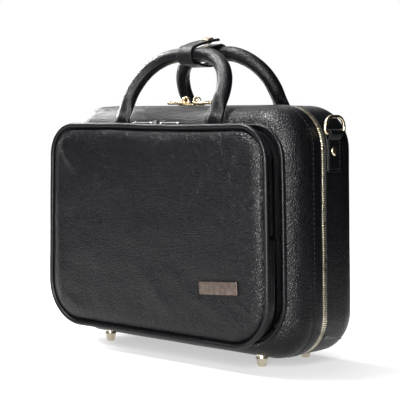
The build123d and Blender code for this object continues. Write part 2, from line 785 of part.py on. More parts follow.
# Rings for a shoulder strap, one on each end of the rear shell, in leather tabs
side_lean = (body_width_bottom - body_width_top) / 2 / body_height
corner_z = body_top - corner_radius
loop_reach = corner_radius + ring_wire + ring_bar_fit + ring_tab_thickness
loop_angle = asin((ring_bar_height - corner_z) / loop_reach)
corner_x = body_width_top / 2 - corner_radius * (1 - side_lean)
loop_x = corner_x + loop_reach * cos(loop_angle) + loose_fit
rivet_x = body_width_top / 2 + (body_top - rivet_height) * side_lean
ring_y = zip_y + ring_depth
for ring_name, tab_name, rivet_name, side in (
    ("dring_left", "dring_tab_left", "dring_rivet_left", -1),
    ("dring_right", "dring_tab_right", "dring_rivet_right", 1),
):
    with BuildPart() as ring_tab:
        extrude(
            case_sketch(ring_depth + ring_tab_width / 2, -ring_tab_thickness, ring_tab_thickness),
            amount=ring_tab_width,
        )
        with BuildSketch(upright(ring_depth + ring_tab_width / 2)):
            with Locations((side * body_width_bottom / 2, (ring_tab_bottom + ring_bar_height) / 2)):
                Rectangle(body_width_bottom / 2, ring_bar_height - ring_tab_bottom)
        extrude(amount=ring_tab_width, mode=Mode.INTERSECT)
        with BuildSketch(upright(ring_depth + ring_tab_width / 2)):
            with Locations((side * loop_x, ring_bar_height)):
                Circle(ring_wire + ring_bar_fit + ring_tab_thickness)
        extrude(amount=ring_tab_width)
        with BuildSketch(upright(ring_depth + ring_tab_width / 2)):
            with Locations((side * loop_x, ring_bar_height)):
                Circle(ring_wire + ring_bar_fit)
        extrude(amount=ring_tab_width, mode=Mode.SUBTRACT)
        add(rear_skin, mode=Mode.SUBTRACT)
    ring_tab.part.label = tab_name
    export_step(ring_tab.part, f"parts/{tab_name}.step")

    with BuildPart() as rivet:
        rivet_plane = Plane(
            origin=(side * (rivet_x + ring_tab_thickness), ring_y, rivet_height),
            x_dir=(0, 1, 0),
            z_dir=(side, 0, side_lean),
        )
        with BuildSketch(rivet_plane):
            Circle(rivet_radius)
        extrude(amount=rivet_dome)
        fillet(rivet.edges().sort_by(Axis.X)[-1 if side > 0 else 0], rivet_dome / 2)
    rivet.part.label = rivet_name
    export_step(rivet.part, f"parts/{rivet_name}.step")

    ring_plane = Plane(
        origin=(side * loop_x, ring_y, ring_bar_height), x_dir=(0, 1, 0), z_dir=(1, 0, 0)
    )
    with BuildSketch(ring_plane) as ring_outline:
        Rectangle(ring_width, ring_height, align=(Align.CENTER, Align.MIN))
        fillet(ring_outline.vertices().group_by(Axis.Y)[0], 2 * ring_wire)
        fillet(ring_outline.vertices().group_by(Axis.Y)[-1], ring_height - 3 * ring_wire)
    ring_path = ring_outline.sketch.wires()[0]
    with BuildPart() as ring:
        with BuildSketch(Plane(origin=ring_path @ 0, z_dir=ring_path % 0)):
            Circle(ring_wire)
        sweep(path=ring_path)
    ring.part.label = ring_name
    export_step(ring.part, f"parts/{ring_name}.step")
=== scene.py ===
from math import cos, exp, pi, radians, sin, sqrt

import bmesh
import bpy
from mathutils import Matrix, Vector, noise


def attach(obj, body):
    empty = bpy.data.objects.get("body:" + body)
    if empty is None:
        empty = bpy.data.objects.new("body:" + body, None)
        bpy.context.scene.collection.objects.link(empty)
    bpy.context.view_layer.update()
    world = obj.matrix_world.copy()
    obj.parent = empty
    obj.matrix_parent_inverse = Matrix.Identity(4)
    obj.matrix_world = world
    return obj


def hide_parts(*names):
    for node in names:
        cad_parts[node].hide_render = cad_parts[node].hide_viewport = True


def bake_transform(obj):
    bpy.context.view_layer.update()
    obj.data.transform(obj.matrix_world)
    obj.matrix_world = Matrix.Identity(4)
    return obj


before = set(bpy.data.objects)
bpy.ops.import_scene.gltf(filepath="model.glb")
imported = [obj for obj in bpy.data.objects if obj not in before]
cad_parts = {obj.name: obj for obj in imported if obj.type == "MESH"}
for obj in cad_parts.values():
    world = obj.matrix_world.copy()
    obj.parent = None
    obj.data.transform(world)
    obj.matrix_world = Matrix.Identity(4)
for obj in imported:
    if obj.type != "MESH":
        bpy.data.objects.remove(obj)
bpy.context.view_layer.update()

# Camera: a little above the case, forty-three degrees round to its right and over a metre off.
# A long lens keeps the uprights parallel, as they are in the photograph.
zip_y = 0.00865
sight = Vector((-0.0022, zip_y, 0.1385))
camera_turn, camera_rise, camera_reach = 43.34, 3.65, 1.2093


def add_object(name, data):
    """An object with this data, in the scene."""
    made = bpy.data.objects.new(name, data)
    bpy.context.scene.collection.objects.link(made)
    return made


def stand_off(name, data, turn, rise, reach):
    """A camera or lamp that faces the middle of the case from a turn, a rise and a reach."""
    turn, rise = radians(turn), radians(rise)
    way = Vector((sin(turn) * cos(rise), -cos(turn) * cos(rise), sin(rise)))
    made = add_object(name, data)
    made.location = sight + way * reach
    made.rotation_euler = way.to_track_quat("Z", "Y").to_euler()
    return made


camera = stand_off("camera", bpy.data.cameras.new("camera"), camera_turn, camera_rise, camera_reach)
camera.data.lens = 117.8
camera.data.sensor_width = 36
bpy.context.scene.camera = camera

# Rear shell: a moulded foam shell covered in pebbled black leather, its edge turned in at the
# zip. It stands still, and everything else is sewn, riveted or hinged to it.
case_low, case_top = 0.008, 0.225
case_half_low, case_half_top = 0.145, 0.1405
case_corners = [(-case_half_low, case_low), (case_half_low, case_low)]
case_corners += [(case_half_top, case_top), (-case_half_top, case_top)]
case_radius = 0.037
shell_edge, shell_wall = 0.024, 0.004
rear_rim, rear_face, rear_crown = 0.0032, 0.052, 0.0012


def round_off(form, geom, radius, segments, affect="EDGES"):
    """Rounds a form's edges, or the corners of a flat one."""
    bmesh.ops.bevel(
        form,
        geom=geom,
        offset=radius,
        offset_type="OFFSET",
        segments=segments,
        profile=0.5,
        affect=affect,
        material=-1,
    )


def rounded_outline(corners, radii):
    """The ring of points round a front view whose corners are rounded."""
    form = bmesh.new()
    form.faces.new([form.verts.new((x, 0, z)) for x, z in corners])
    for (x, z), radius in zip(corners, radii):
        corner = min(form.verts, key=lambda v: (v.co - Vector((x, 0, z))).length)
        round_off(form, [corner], radius, 18, "VERTICES")
    ring = [loop.vert.co.copy() for loop in list(form.faces)[0].loops]
    form.free()
    return ring


def walk_outline(ring, step):
    """Even stations along a ring: the point, the way along, the way out and how far along."""
    runs = [(b - a).length for a, b in zip(ring, ring[1:] + ring[:1])]
    count = round(sum(runs) / step)
    pitch = sum(runs) / count
    spots, at, passed = [], 0, 0.0
    for k in range(count):
        while passed + runs[at] < k * pitch:
            passed += runs[at]
            at += 1
        spots.append(ring[at].lerp(ring[(at + 1) % len(ring)], (k * pitch - passed) / runs[at]))
    stations = []
    for k, spot in enumerate(spots):
        along = (spots[(k + 1) % count] - spots[k - 1]).normalized()
        stations.append((spot, along, Vector((along.z, 0, -along.x)), k * pitch))
    return stations


def fresh_points(drawn):
    """The points among what was just drawn."""
    return [g for g in drawn if isinstance(g, bmesh.types.BMVert)]


def draw_rim(form, rim):
    """Draws a rim on by a row: the row's points, and the new rim."""
    drawn = bmesh.ops.extrude_edge_only(form, edges=rim)["geom"]
    points = fresh_points(drawn)
    row = set(points)
    return points, [g for g in drawn if isinstance(g, bmesh.types.BMEdge) and set(g.verts) <= row]


def ripple(*at):
    """Smooth noise at a point, for what was shaped by hand."""
    return noise.noise(Vector(at))


def sew_round(stations, section, closed=True, tube=False, shape=None):
    """A band round an outline: each (depth, lift) of its section is a row, drawn on from the last."""
    form = bmesh.new()
    uv = form.loops.layers.uv.new("along")
    row = [form.verts.new(spot) for spot, along, out, run in stations]
    pairs = list(zip(row, row[1:] + row[:1])) if closed else list(zip(row, row[1:]))
    edges = [form.edges.new(pair) for pair in pairs]
    order = {vert: k for k, vert in enumerate(row)}
    reach = {}
    across = 0.0
    rows = list(section) + ([section[0]] if tube else [])
    for n, (depth, lift) in enumerate(rows):
        if n:
            fresh, edges = draw_rim(form, edges)
            last = set(row)
            for vert in fresh:
                behind = [e.other_vert(vert) for e in vert.link_edges]
                order[vert] = next(order[b] for b in behind if b in last)
            across += (Vector(rows[n]) - Vector(rows[n - 1])).length
            row = fresh
        for vert in row:
            spot, along, out, run = stations[order[vert]]
            move = shape(run, n, spot) if shape else (0.0, 0.0)
            vert.co = spot + out * (lift + move[1]) + Vector((0, zip_y + depth + move[0], 0))
            reach[vert] = (run, across)
    whole = stations[-1][3] + stations[1][3] - stations[0][3]
    for face in form.faces:
        runs = [reach[loop.vert][0] for loop in face.loops]
        for loop in face.loops:
            run, side = reach[loop.vert]
            if max(runs) - min(runs) > whole / 2 and run < whole / 2:
                run += whole
            loop[uv].uv = (run, side)
    if tube:
        bmesh.ops.remove_doubles(form, verts=form.verts, dist=1e-6)
    if tube and not closed:
        open_ends = [e for e in form.edges if e.is_boundary]
        bmesh.ops.holes_fill(form, edges=open_ends, sides=0)
    bmesh.ops.recalc_face_normals(form, faces=form.faces)
    return form


def add_node(tree, kind, *values, operation=None, settings=None, **named):
    """A shader node. Each socket takes a number, a colour, a node or a node's output."""
    made = tree.nodes.new("ShaderNode" + kind)
    if operation:
        made.operation = operation
    for key, value in (settings or {}).items():
        setattr(made, key, value)
    pairs = list(zip(made.inputs, values))
    pairs += [(made.inputs[key.replace("_", " ")], value) for key, value in named.items()]
    for socket, value in pairs:
        if isinstance(value, bpy.types.Node):
            value = value.outputs[0]
        if isinstance(value, bpy.types.NodeSocket):
            tree.links.new(value, socket)
        elif value is not None:
            socket.default_value = value
    return made


def new_finish(name):
    """A new finish: the material, its nodes, its shader and the place on the piece."""
    finish = bpy.data.materials.new(name)
    finish.use_nodes = True
    tree = finish.node_tree
    return finish, tree, tree.nodes["Principled BSDF"], add_node(tree, "TexCoord").outputs["Object"]


def shade_between(tree, share, first, last):
    """Colours a finish between two colours."""
    tone = add_node(tree, "Mix", settings={"data_type": "RGBA"})
    tree.links.new(share.outputs[0], tone.inputs[0])
    tone.inputs[6].default_value = (*first, 1)
    tone.inputs[7].default_value = (*last, 1)
    tree.links.new(tone.outputs[2], tree.nodes["Principled BSDF"].inputs["Base Color"])


def raise_grain(tree, height, strength, depth):
    """Gives a finish its relief."""
    bump = add_node(tree, "Bump", Strength=strength, Distance=depth, Height=height)
    tree.links.new(bump.outputs[0], tree.nodes["Principled BSDF"].inputs["Normal"])


def leather(name, grain, depth, dark, light, gloss, matt, crease=0.0, specular=0.2):
    """Pebbled leather: rounded pebbles between fine cracks, over slow changes of shade."""
    finish, tree, shader, place = new_finish(name)
    drift = add_node(tree, "TexNoise", Vector=place, Scale=0.28 / grain, Detail=2.0)
    spread = add_node(tree, "VectorMath", drift.outputs["Color"], (grain * 1.6,) * 3, operation="MULTIPLY")
    bent = add_node(tree, "VectorMath", place, spread, operation="ADD")
    cells = add_node(
        tree, "TexVoronoi", Vector=bent, Scale=1 / grain, settings={"feature": "DISTANCE_TO_EDGE"}
    )
    pebble = add_node(
        tree, "MapRange", cells, 0.0, 0.3, 0.0, 1.0, settings={"interpolation_type": "SMOOTHSTEP"}
    )
    fine = add_node(tree, "TexNoise", Vector=place, Scale=3.4 / grain, Detail=2.0)
    folds = add_node(tree, "TexNoise", Vector=place, Scale=150.0, Detail=3.0, Distortion=0.6)
    broad = add_node(tree, "TexNoise", Vector=place, Scale=26.0, Detail=3.0)
    skin = add_node(tree, "Math", fine, 0.3, pebble, operation="MULTIPLY_ADD")
    height = add_node(tree, "Math", folds, crease, skin, operation="MULTIPLY_ADD")
    raise_grain(tree, height, 1.0, depth)
    shade = add_node(tree, "Math", pebble, broad, operation="MULTIPLY")
    shade_between(tree, shade, dark, light)
    worn = add_node(tree, "Math", broad, -0.12, pebble, operation="MULTIPLY_ADD")
    rough = add_node(tree, "MapRange", worn, 0.0, 1.0, matt, gloss)
    tree.links.new(rough.outputs[0], shader.inputs["Roughness"])
    shader.inputs["Specular IOR Level"].default_value = specular
    return finish


def form_mesh(name, form):
    """A form becomes a mesh, and is let go."""
    mesh = bpy.data.meshes.new(name)
    form.to_mesh(mesh)
    form.free()
    return mesh


def make_piece(name, form, finish, slot, *nodes, body=None, sharp=None):
    """A form becomes a piece in its finish, riding on a body and standing for its nodes."""
    mesh = form_mesh(name, form)
    mesh.shade_smooth()
    if sharp:
        mesh.set_sharp_from_angle(angle=radians(sharp))
    mesh.materials.append(finish)
    piece = add_object(name, mesh)
    if body:
        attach(piece, body)
    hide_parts(*nodes)
    return piece


def give_wall(piece, thickness, edge, offset=-1.0, segments=3):
    """Turns a skin into a wall with softened edges."""
    wall = piece.modifiers.new("wall", "SOLIDIFY")
    wall.thickness = thickness
    wall.offset = offset
    soft = piece.modifiers.new("edge", "BEVEL")
    soft.width = edge
    soft.segments = segments
    soft.limit_method = "ANGLE"
    soft.angle_limit = radians(50)
    soft.harden_normals = True


def moulded_shell(stations, rim, face, inset, edge, crown):
    """A shell's skin from its open rim to its far face, with a rounded edge and a slight crown."""
    side = 1 if face > rim else -1
    depth = abs(face - rim) - edge
    section = [(rim + side * depth * t, -inset) for t in (0, 0.03, 0.25, 0.5, 0.75, 1)]
    for k in range(1, 10):
        turn = radians(10 * k)
        section.append((rim + side * (depth + edge * sin(turn)), -inset - edge * (1 - cos(turn))))
    form = sew_round(
        stations,
        section,
        shape=lambda run, n, spot: (0.0, 0.00025 * ripple(run * 30, n * 0.6, 3.1) if n else 0.0),
    )
    far = [e for e in form.edges if e.is_boundary and abs(e.verts[0].co.y - zip_y - face) < 0.002]
    cap = bmesh.ops.contextual_create(form, geom=far)["faces"]
    centre = cap[0].calc_center_median()
    for shrink, share in ((0.97, 0.08), (0.88, 0.3), (0.8, 0.3), (0.7, 0.2), (0.55, 0.12)):
        grown = bmesh.ops.extrude_face_region(form, geom=cap)["geom"]
        bmesh.ops.delete(form, geom=cap, context="FACES_ONLY")
        cap = [g for g in grown if isinstance(g, bmesh.types.BMFace)]
        ring = fresh_points(grown)
        bmesh.ops.scale(form, vec=(shrink, 1, shrink), space=Matrix.Translation(-centre), verts=ring)
        bmesh.ops.translate(form, vec=(0, side * crown * share, 0), verts=ring)
    bmesh.ops.recalc_face_normals(form, faces=form.faces)
    outward = sum(f.normal.y for f in cap)
    if outward * side < 0:
        bmesh.ops.reverse_faces(form, faces=form.faces)
    return form


case_ring = rounded_outline(case_corners, [case_radius] * 4)
case_stations = walk_outline(case_ring, 0.004)
crack_black, face_black = (0.001, 0.001, 0.0015), (0.003, 0.003, 0.004)
shell_leather = leather("shell_leather", 0.0021, 0.0002, crack_black, face_black, 0.27, 0.42)
rear_form = moulded_shell(case_stations, rear_rim, rear_face, 0.0, shell_edge, rear_crown)
rear_shell = make_piece(
    "rear_shell_cover", rear_form, shell_leather, "shell_leather", "rear_shell", body="case"
)
give_wall(rear_shell, shell_wall, 0.0009)

# Front shell and zip band: the lid's moulded cover, and the smooth leather band sewn between it
# and the zip. A groove marks the seam, and one row of stitches holds the turned edge.
front_rim, front_face, front_crown = -0.0158, -0.044, 0.0006
front_form = moulded_shell(case_stations, front_rim, front_face, 0.0, shell_edge, front_crown)
front_shell = make_piece(
    "front_shell_cover", front_form, shell_leather, "shell_leather", "front_shell", body="lid"
)
give_wall(front_shell, shell_wall, 0.0011)
trim_leather = leather("trim_leather", 0.0013, 0.00006, crack_black, face_black, 0.26, 0.4)


def waver(size, pitch, row_pitch, seed):
    """The slight rise and fall of a sewn band, along it and from row to row."""
    return lambda run, n, spot: (0.0, size * ripple(run * pitch, n * row_pitch, seed))


band_rows = [(-0.0032, 0), (-0.0040, 0.0002), (-0.0065, 0.0004), (-0.0095, 0.00045)]
band_rows += [(-0.0125, 0.0003), (-0.0148, 0.0001), (-0.0155, -0.0002)]
band_form = sew_round(case_stations, band_rows, shape=waver(0.0003, 45, 1, 0.4))
front_band = make_piece("zip_band", band_form, trim_leather, "trim_leather", "front_band", body="lid")
give_wall(front_band, shell_wall, 0.0009)
thread = leather("thread", 0.0004, 0.00002, (0.01, 0.01, 0.011), (0.03, 0.03, 0.032), 0.5, 0.7)


def sew_stitches(name, spots, body, length=0.0026, width=0.0006):
    """A run of stitches: each is a short bead of thread, laid along the seam and bedded in it."""
    form = bmesh.new()
    for spot, along, out in spots:
        bead = bmesh.ops.create_uvsphere(form, u_segments=6, v_segments=4, radius=0.5)["verts"]
        side = out.cross(along).normalized()
        turn = Matrix((along.normalized(), side, out.normalized())).transposed().to_4x4()
        size = Matrix.Diagonal((length, width, width * 0.8, 1))
        bmesh.ops.transform(form, matrix=Matrix.Translation(spot) @ turn @ size, verts=bead)
    return make_piece(name, form, thread, "trim_leather", body=body)


band_seam, stitch_step = -0.0137, 0.0042
band_stitches = [
    (spot + out * 0.0003 + Vector((0, zip_y + band_seam, 0)), along, out)
    for spot, along, out, run in walk_outline(case_ring, stitch_step)
]
sew_stitches("zip_band_stitches", band_stitches, "lid")

# Main zip: two woven tapes sewn inside the edges, each with a row of pale gold teeth that mesh
# along the middle. One tooth is a cast block with a narrower head, clamped on the tape's cord.
tooth_pitch, teeth_depth, teeth_lift = 0.00195, 0.0021, -0.0015
zip_end_x, sides_from = 0.098, 0.1


def metal(name, colour, rough, tarnish_and_shade, scratch=0.00002, stretch=(1, 1, 1)):
    """Plated metal: fine brushing, small dents, and a duller shade where it has been handled."""
    finish, tree, shader, place = new_finish(name)
    drawn = add_node(tree, "Mapping", Vector=place, Scale=stretch)
    brushed = add_node(tree, "TexNoise", Vector=drawn, Scale=2600.0, Detail=3.0)
    handled = add_node(tree, "TexNoise", Vector=place, Scale=240.0, Detail=4.0)
    shade_between(tree, handled, colour, tarnish_and_shade)
    blur = add_node(tree, "MapRange", handled, 0.3, 0.7, rough * 0.75, rough * 1.4)
    tree.links.new(blur.outputs[0], shader.inputs["Roughness"])
    raise_grain(tree, brushed, 0.6, scratch)
    shader.inputs["Metallic"].default_value = 1.0
    return finish


def woven(name, dark, light, pitch):
    """Woven tape: diagonal ribs of thread, with a slight fuzz."""
    finish, tree, shader, place = new_finish(name)
    turned = add_node(tree, "Mapping", Vector=place, Rotation=(0.6, 0.75, 0.5))
    ribs = add_node(tree, "TexWave", Vector=turned, Scale=0.16 / pitch, Distortion=0.6, Detail=1.0)
    fuzz = add_node(tree, "TexNoise", Vector=place, Scale=1800.0, Detail=2.0)
    height = add_node(tree, "Math", fuzz, 0.4, ribs.outputs["Fac"], operation="MULTIPLY_ADD")
    raise_grain(tree, height, 0.8, 0.0002)
    shade_between(tree, height, dark, light)
    shader.inputs["Roughness"].default_value = 0.85
    shader.inputs["Sheen Weight"].default_value = 0.15
    return finish


def one_tooth(length, width, height, head):
    """One tooth as a mesh: a block over the tape's cord, and a narrower head that meshes."""
    form = bmesh.new()
    bmesh.ops.create_cube(form, size=1)
    bmesh.ops.scale(form, vec=(length, width, height), verts=form.verts)
    inner = [f for f in form.faces if f.normal.y < -0.9]
    grown = bmesh.ops.extrude_face_region(form, geom=inner)["geom"]
    tip = fresh_points(grown)
    bmesh.ops.delete(form, geom=inner, context="FACES_ONLY")
    bmesh.ops.translate(form, vec=(0, -head, 0), verts=tip)
    middle = sum((v.co for v in tip), Vector()) / len(tip)
    bmesh.ops.scale(form, vec=(0.62, 1, 0.6), space=Matrix.Translation(-middle), verts=tip)
    round_off(form, [e for e in form.edges if e.calc_face_angle(0) > 1], length * 0.14, 1)
    return form_mesh("tooth", form)


def lay_teeth(tooth, stations, depth, side, lift):
    """A row of teeth along an outline, each turned to face across the zip."""
    form = bmesh.new()
    for spot, along, out, run in stations:
        before = len(form.verts)
        form.from_mesh(tooth)
        form.verts.ensure_lookup_table()
        fresh = form.verts[before:]
        across = Vector((0, side, 0))
        turn = Matrix((across.cross(out), across, out)).transposed().to_4x4()
        middle = spot + out * lift + Vector((0, zip_y + depth, 0))
        bmesh.ops.transform(form, matrix=Matrix.Translation(middle) @ turn, verts=fresh)
    return form


gold_teeth = metal("gold_teeth", (0.86, 0.8, 0.65), 0.3, (0.55, 0.5, 0.39))
main_tooth = one_tooth(0.00112, 0.0024, 0.0024, 0.0014)
for row_name, row_node, side, shift, body in (
    ("rear_teeth_row", "rear_zip_teeth", 1, 0.0, "case"),
    ("front_teeth_row", "front_zip_teeth", -1, 0.5, "lid"),
):
    whole_ring = walk_outline(case_ring, tooth_pitch / 2)[int(2 * shift) :: 2]
    row = [s for s in whole_ring if abs(s[0].x) > zip_end_x or s[0].z > sides_from]
    teeth_form = lay_teeth(main_tooth, row, side * teeth_depth, side, teeth_lift)
    make_piece(row_name, teeth_form, gold_teeth, "zip_teeth", row_node, body=body, sharp=30)


def paint_nodes(finish, *node_names):
    """Puts a finish on solids that show as they are."""
    for node_name in node_names:
        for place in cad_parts[node_name].material_slots:
            place.material = finish


zip_weave = woven("zip_weave", (0.008, 0.008, 0.009), (0.03, 0.03, 0.032), 0.0009)
paint_nodes(zip_weave, "rear_zip_tape", "front_zip_tape")

# Hinge: one strip of leather sewn under both shells, with a bead rolled into it on the line
# that the lid turns about.
hinge_line, hinge_half, leaf_seam = case_low, 0.0926, 0.0148
hinge_rows = [(-0.0166, -0.001), (-0.0166, -0.0001), (-0.0030, -0.0001), (-0.0016, 0.0008)]
hinge_rows += [(-0.0008, 0.0016), (0.0008, 0.0016), (0.0016, 0.0008), (0.0030, -0.0001)]
hinge_rows += [(0.0166, -0.0001), (0.0166, -0.001), (0.0026, -0.001), (0.0017, -0.0013)]
hinge_rows += [(0.0009, -0.0017), (0, -0.0018), (-0.0009, -0.0017), (-0.0017, -0.0013)]
hinge_rows += [(-0.0026, -0.001)]
hinge_form = bmesh.new()
hinge_end = hinge_form.faces.new(
    [hinge_form.verts.new((-hinge_half, zip_y + y, hinge_line + z)) for y, z in hinge_rows]
)
hinge_grown = bmesh.ops.extrude_face_region(hinge_form, geom=[hinge_end])["geom"]
bmesh.ops.translate(hinge_form, vec=(2 * hinge_half, 0, 0), verts=fresh_points(hinge_grown))
bmesh.ops.recalc_face_normals(hinge_form, faces=hinge_form.faces)
hinge_lengths = [e for e in hinge_form.edges if abs(e.verts[0].co.x - e.verts[1].co.x) > 0.1]
bmesh.ops.subdivide_edges(hinge_form, edges=hinge_lengths, cuts=30, use_grid_fill=True)
for vert in hinge_form.verts:
    vert.co.z += 0.00012 * noise.noise(vert.co * 160)
hinge_strip = make_piece(
    "hinge_strip",
    hinge_form,
    trim_leather,
    "trim_leather",
    "hinge_bead",
    "rear_hinge_leaf",
    "front_hinge_leaf",
    sharp=40,
)
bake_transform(hinge_strip)
for side_name, side, body in (("rear", 1, "case"), ("front", -1, "lid")):
    leaf_spots = []
    for k in range(46):
        spot = Vector((-0.09 + 0.004 * k, zip_y + side * leaf_seam, hinge_line - 0.001))
        leaf_spots.append((spot, Vector((1, 0, 0)), Vector((0, 0, -1))))
    sew_stitches(f"{side_name}_hinge_stitches", leaf_spots, body)

# Feet: four turned studs, plated pale gold, screwed up into the shells' rounded lower edges.
# Each tapers to the floor and has a small hollow for its screw.
foot_metal = metal("foot_metal", (0.72, 0.66, 0.52), 0.24, (0.55, 0.49, 0.38))
foot_profile = [(0.0, 0.0012), (0.0013, 0.0012), (0.0015, 0.0001), (0.0031, 0.0), (0.0035, 0.0004)]
foot_profile += [(0.0041, 0.003), (0.0049, 0.0062), (0.0053, 0.0068), (0.0054, 0.0073)]
foot_profile += [(0.0051, 0.0078), (0.0051, 0.0112)]
foot_reach, rear_foot_depth, front_foot_depth = 0.096, 0.034, -0.026


def spin_profile(profile, steps=40):
    """A turned part on the Z axis, from a line of (radius, height) points."""
    form = bmesh.new()
    row = [form.verts.new((radius, 0, height)) for radius, height in profile]
    line = [form.edges.new(pair) for pair in zip(row, row[1:])]
    bmesh.ops.spin(
        form, geom=row + line, cent=(0, 0, 0), axis=(0, 0, 1), angle=2 * pi, steps=steps, use_merge=True
    )
    bmesh.ops.remove_doubles(form, verts=form.verts, dist=1e-6)
    bmesh.ops.recalc_face_normals(form, faces=form.faces)
    return form


def move_form(form, matrix):
    """Moves a whole form."""
    bmesh.ops.transform(form, matrix=matrix, verts=form.verts)


def join_forms(forms):
    """Several forms as one, with any hole closed."""
    whole = bmesh.new()
    for form in forms:
        mesh = form_mesh("part", form)
        whole.from_mesh(mesh)
        bpy.data.meshes.remove(mesh)
    bmesh.ops.holes_fill(whole, edges=[e for e in whole.edges if e.is_boundary], sides=0)
    bmesh.ops.recalc_face_normals(whole, faces=whole.faces)
    return whole


for side_name, depth, body in (("rear", rear_foot_depth, "case"), ("front", front_foot_depth, "lid")):
    feet = [spin_profile(foot_profile), spin_profile(foot_profile)]
    for foot, x in zip(feet, (-foot_reach, foot_reach)):
        move_form(foot, Matrix.Translation((x, zip_y + depth, 0)))
    studs, node = f"{side_name}_studs", f"{side_name}_feet"
    make_piece(studs, join_forms(feet), foot_metal, "feet_metal", node, body=body, sharp=32)

# Instrument tray: firm foam under black plush, with a bed for each joint, one for the bell and
# a box for reeds. The plush rolls over the lip of every bed.
plush, tree, shader, place = new_finish("plush")
pile = add_node(tree, "TexNoise", Vector=place, Scale=1500.0, Detail=3.0)
brushed = add_node(tree, "TexNoise", Vector=place, Scale=34.0, Detail=4.0, Distortion=1.2)
nap = add_node(tree, "Math", pile, brushed, operation="MULTIPLY")
nap_range = add_node(tree, "MapRange", nap, 0.12, 0.4, 0.0, 1.0)
shade_between(tree, nap_range, (0.008, 0.008, 0.01), (0.035, 0.035, 0.04))
raise_grain(tree, nap, 0.7, 0.0006)
shader.inputs["Roughness"].default_value = 0.95
shader.inputs["Sheen Weight"].default_value = 0.35
shader.inputs["Sheen Roughness"].default_value = 0.4

tray_face, tray_floor, tray_inset, bed_lip = 0.0057, 0.0357, 0.0054, 0.0032
beds = [
    (0.0, 0.1494, 0.252, 0.034),
    (0.0, 0.1044, 0.236, 0.034),
    (-0.062, 0.0504, 0.128, 0.052),
    (0.0695, 0.0504, 0.113, 0.052),
]
tray_form = bmesh.new()
tray_spots = [s + out * -tray_inset for s, along, out, run in walk_outline(case_ring, 0.008)]
tray_form.faces.new([tray_form.verts.new(s + Vector((0, zip_y + tray_face, 0))) for s in tray_spots])
for x, z, length, width in beds:
    for reach in (-width / 2, width / 2):
        bmesh.ops.bisect_plane(
            tray_form,
            geom=tray_form.verts[:] + tray_form.edges[:] + tray_form.faces[:],
            plane_co=(0, 0, z + reach),
            plane_no=(0, 0, 1),
        )
for x, z, length, width in beds:
    for reach in (-length / 2, length / 2):
        level = [f for f in tray_form.faces if abs(f.calc_center_median().z - z) < width / 2]
        edges = dict.fromkeys(e for f in level for e in f.edges)
        verts = dict.fromkeys(v for f in level for v in f.verts)
        bmesh.ops.bisect_plane(
            tray_form,
            geom=level + list(edges) + list(verts),
            plane_co=(x + reach, 0, 0),
            plane_no=(1, 0, 0),
        )
for x, z, length, width in beds:
    bed = [
        f
        for f in tray_form.faces
        if abs(f.calc_center_median().z - z) < width / 2
        and abs(f.calc_center_median().x - x) < length / 2
        and f.calc_center_median().y < zip_y + tray_face + 0.001
    ]
    if len(bed) > 1:
        bed = bmesh.ops.dissolve_faces(tray_form, faces=bed)["region"]
    grown = bmesh.ops.extrude_face_region(tray_form, geom=bed)["geom"]
    floor_verts = fresh_points(grown)
    bmesh.ops.translate(tray_form, vec=(0, tray_floor - tray_face, 0), verts=floor_verts)
    bmesh.ops.delete(tray_form, geom=[f for f in bed if f.is_valid], context="FACES_ONLY")
    rising = dict.fromkeys(e for v in floor_verts for e in v.link_edges)
    uprights = [e for e in rising if abs(e.verts[0].co.y - e.verts[1].co.y) > 0.02]
    round_off(tray_form, uprights, width / 4, 6)
bed_edges = [e for e in tray_form.edges if not e.is_boundary and e.calc_face_angle(0) > 1.2]
round_off(tray_form, bed_edges, bed_lip, 4)
tray_rim = [e for e in tray_form.edges if e.is_boundary]
to_middle = Matrix.Translation((0, 0, -(case_low + case_top) / 2))
for depth, shrink in ((0.001, 1.004), (0.0225, 1.0), (0.034, 0.965), (0.0412, 0.9)):
    fresh, tray_rim = draw_rim(tray_form, tray_rim)
    for vert in fresh:
        vert.co.y = zip_y + tray_face + depth
    bmesh.ops.scale(tray_form, vec=(shrink, 1, shrink), space=to_middle, verts=fresh)
bmesh.ops.contextual_create(tray_form, geom=tray_rim)
bmesh.ops.recalc_face_normals(tray_form, faces=tray_form.faces)
make_piece("plush_tray", tray_form, plush, "plush", "instrument_tray", body="case", sharp=50)

# Lid lining: a thin pad of foam under the same plush, glued inside the front shell and dished
# to follow it.
lining_stations = walk_outline(case_ring, 0.006)
pad_rim, pad_face, pad_inset = -0.0166, -0.0397, 0.0043
lining_form = moulded_shell(lining_stations, pad_rim, pad_face, pad_inset, 0.0197, 0.0)
lining = make_piece("lid_lining", lining_form, plush, "plush", "lid_pad", body="lid")
give_wall(lining, 0.005, 0.0018)

# Pocket panel: soft leather over a thin filling, turned in at the piping all round. It sags a
# little along the top and creases near its corners.
pocket_corners = [(-0.136, 0.022), (0.136, 0.022), (0.132, 0.208), (-0.132, 0.208)]
pocket_radii = [0.04, 0.04, 0.028, 0.028]
pocket_ring = rounded_outline(pocket_corners, pocket_radii)
fold_height = 0.116
piping_depth = -0.066


def sag(x, z):
    """How far the pocket's soft edge drops along its top and bows out at its sides."""
    level = max(0.0, (z - 0.15) / 0.058)
    drop = -0.0016 * level**2 * (0.6 + 0.4 * sin(x * 34 + 0.6)) * max(0.0, 1 - abs(x / 0.13) ** 4)
    upright = max(0.0, 1 - abs((z - 0.112) / 0.09) ** 2)
    bow = (0.0002 if x < 0 else 0.0008) * upright * min(1.0, abs(x) / 0.13) ** 6
    return (bow if x > 0 else -bow, drop)


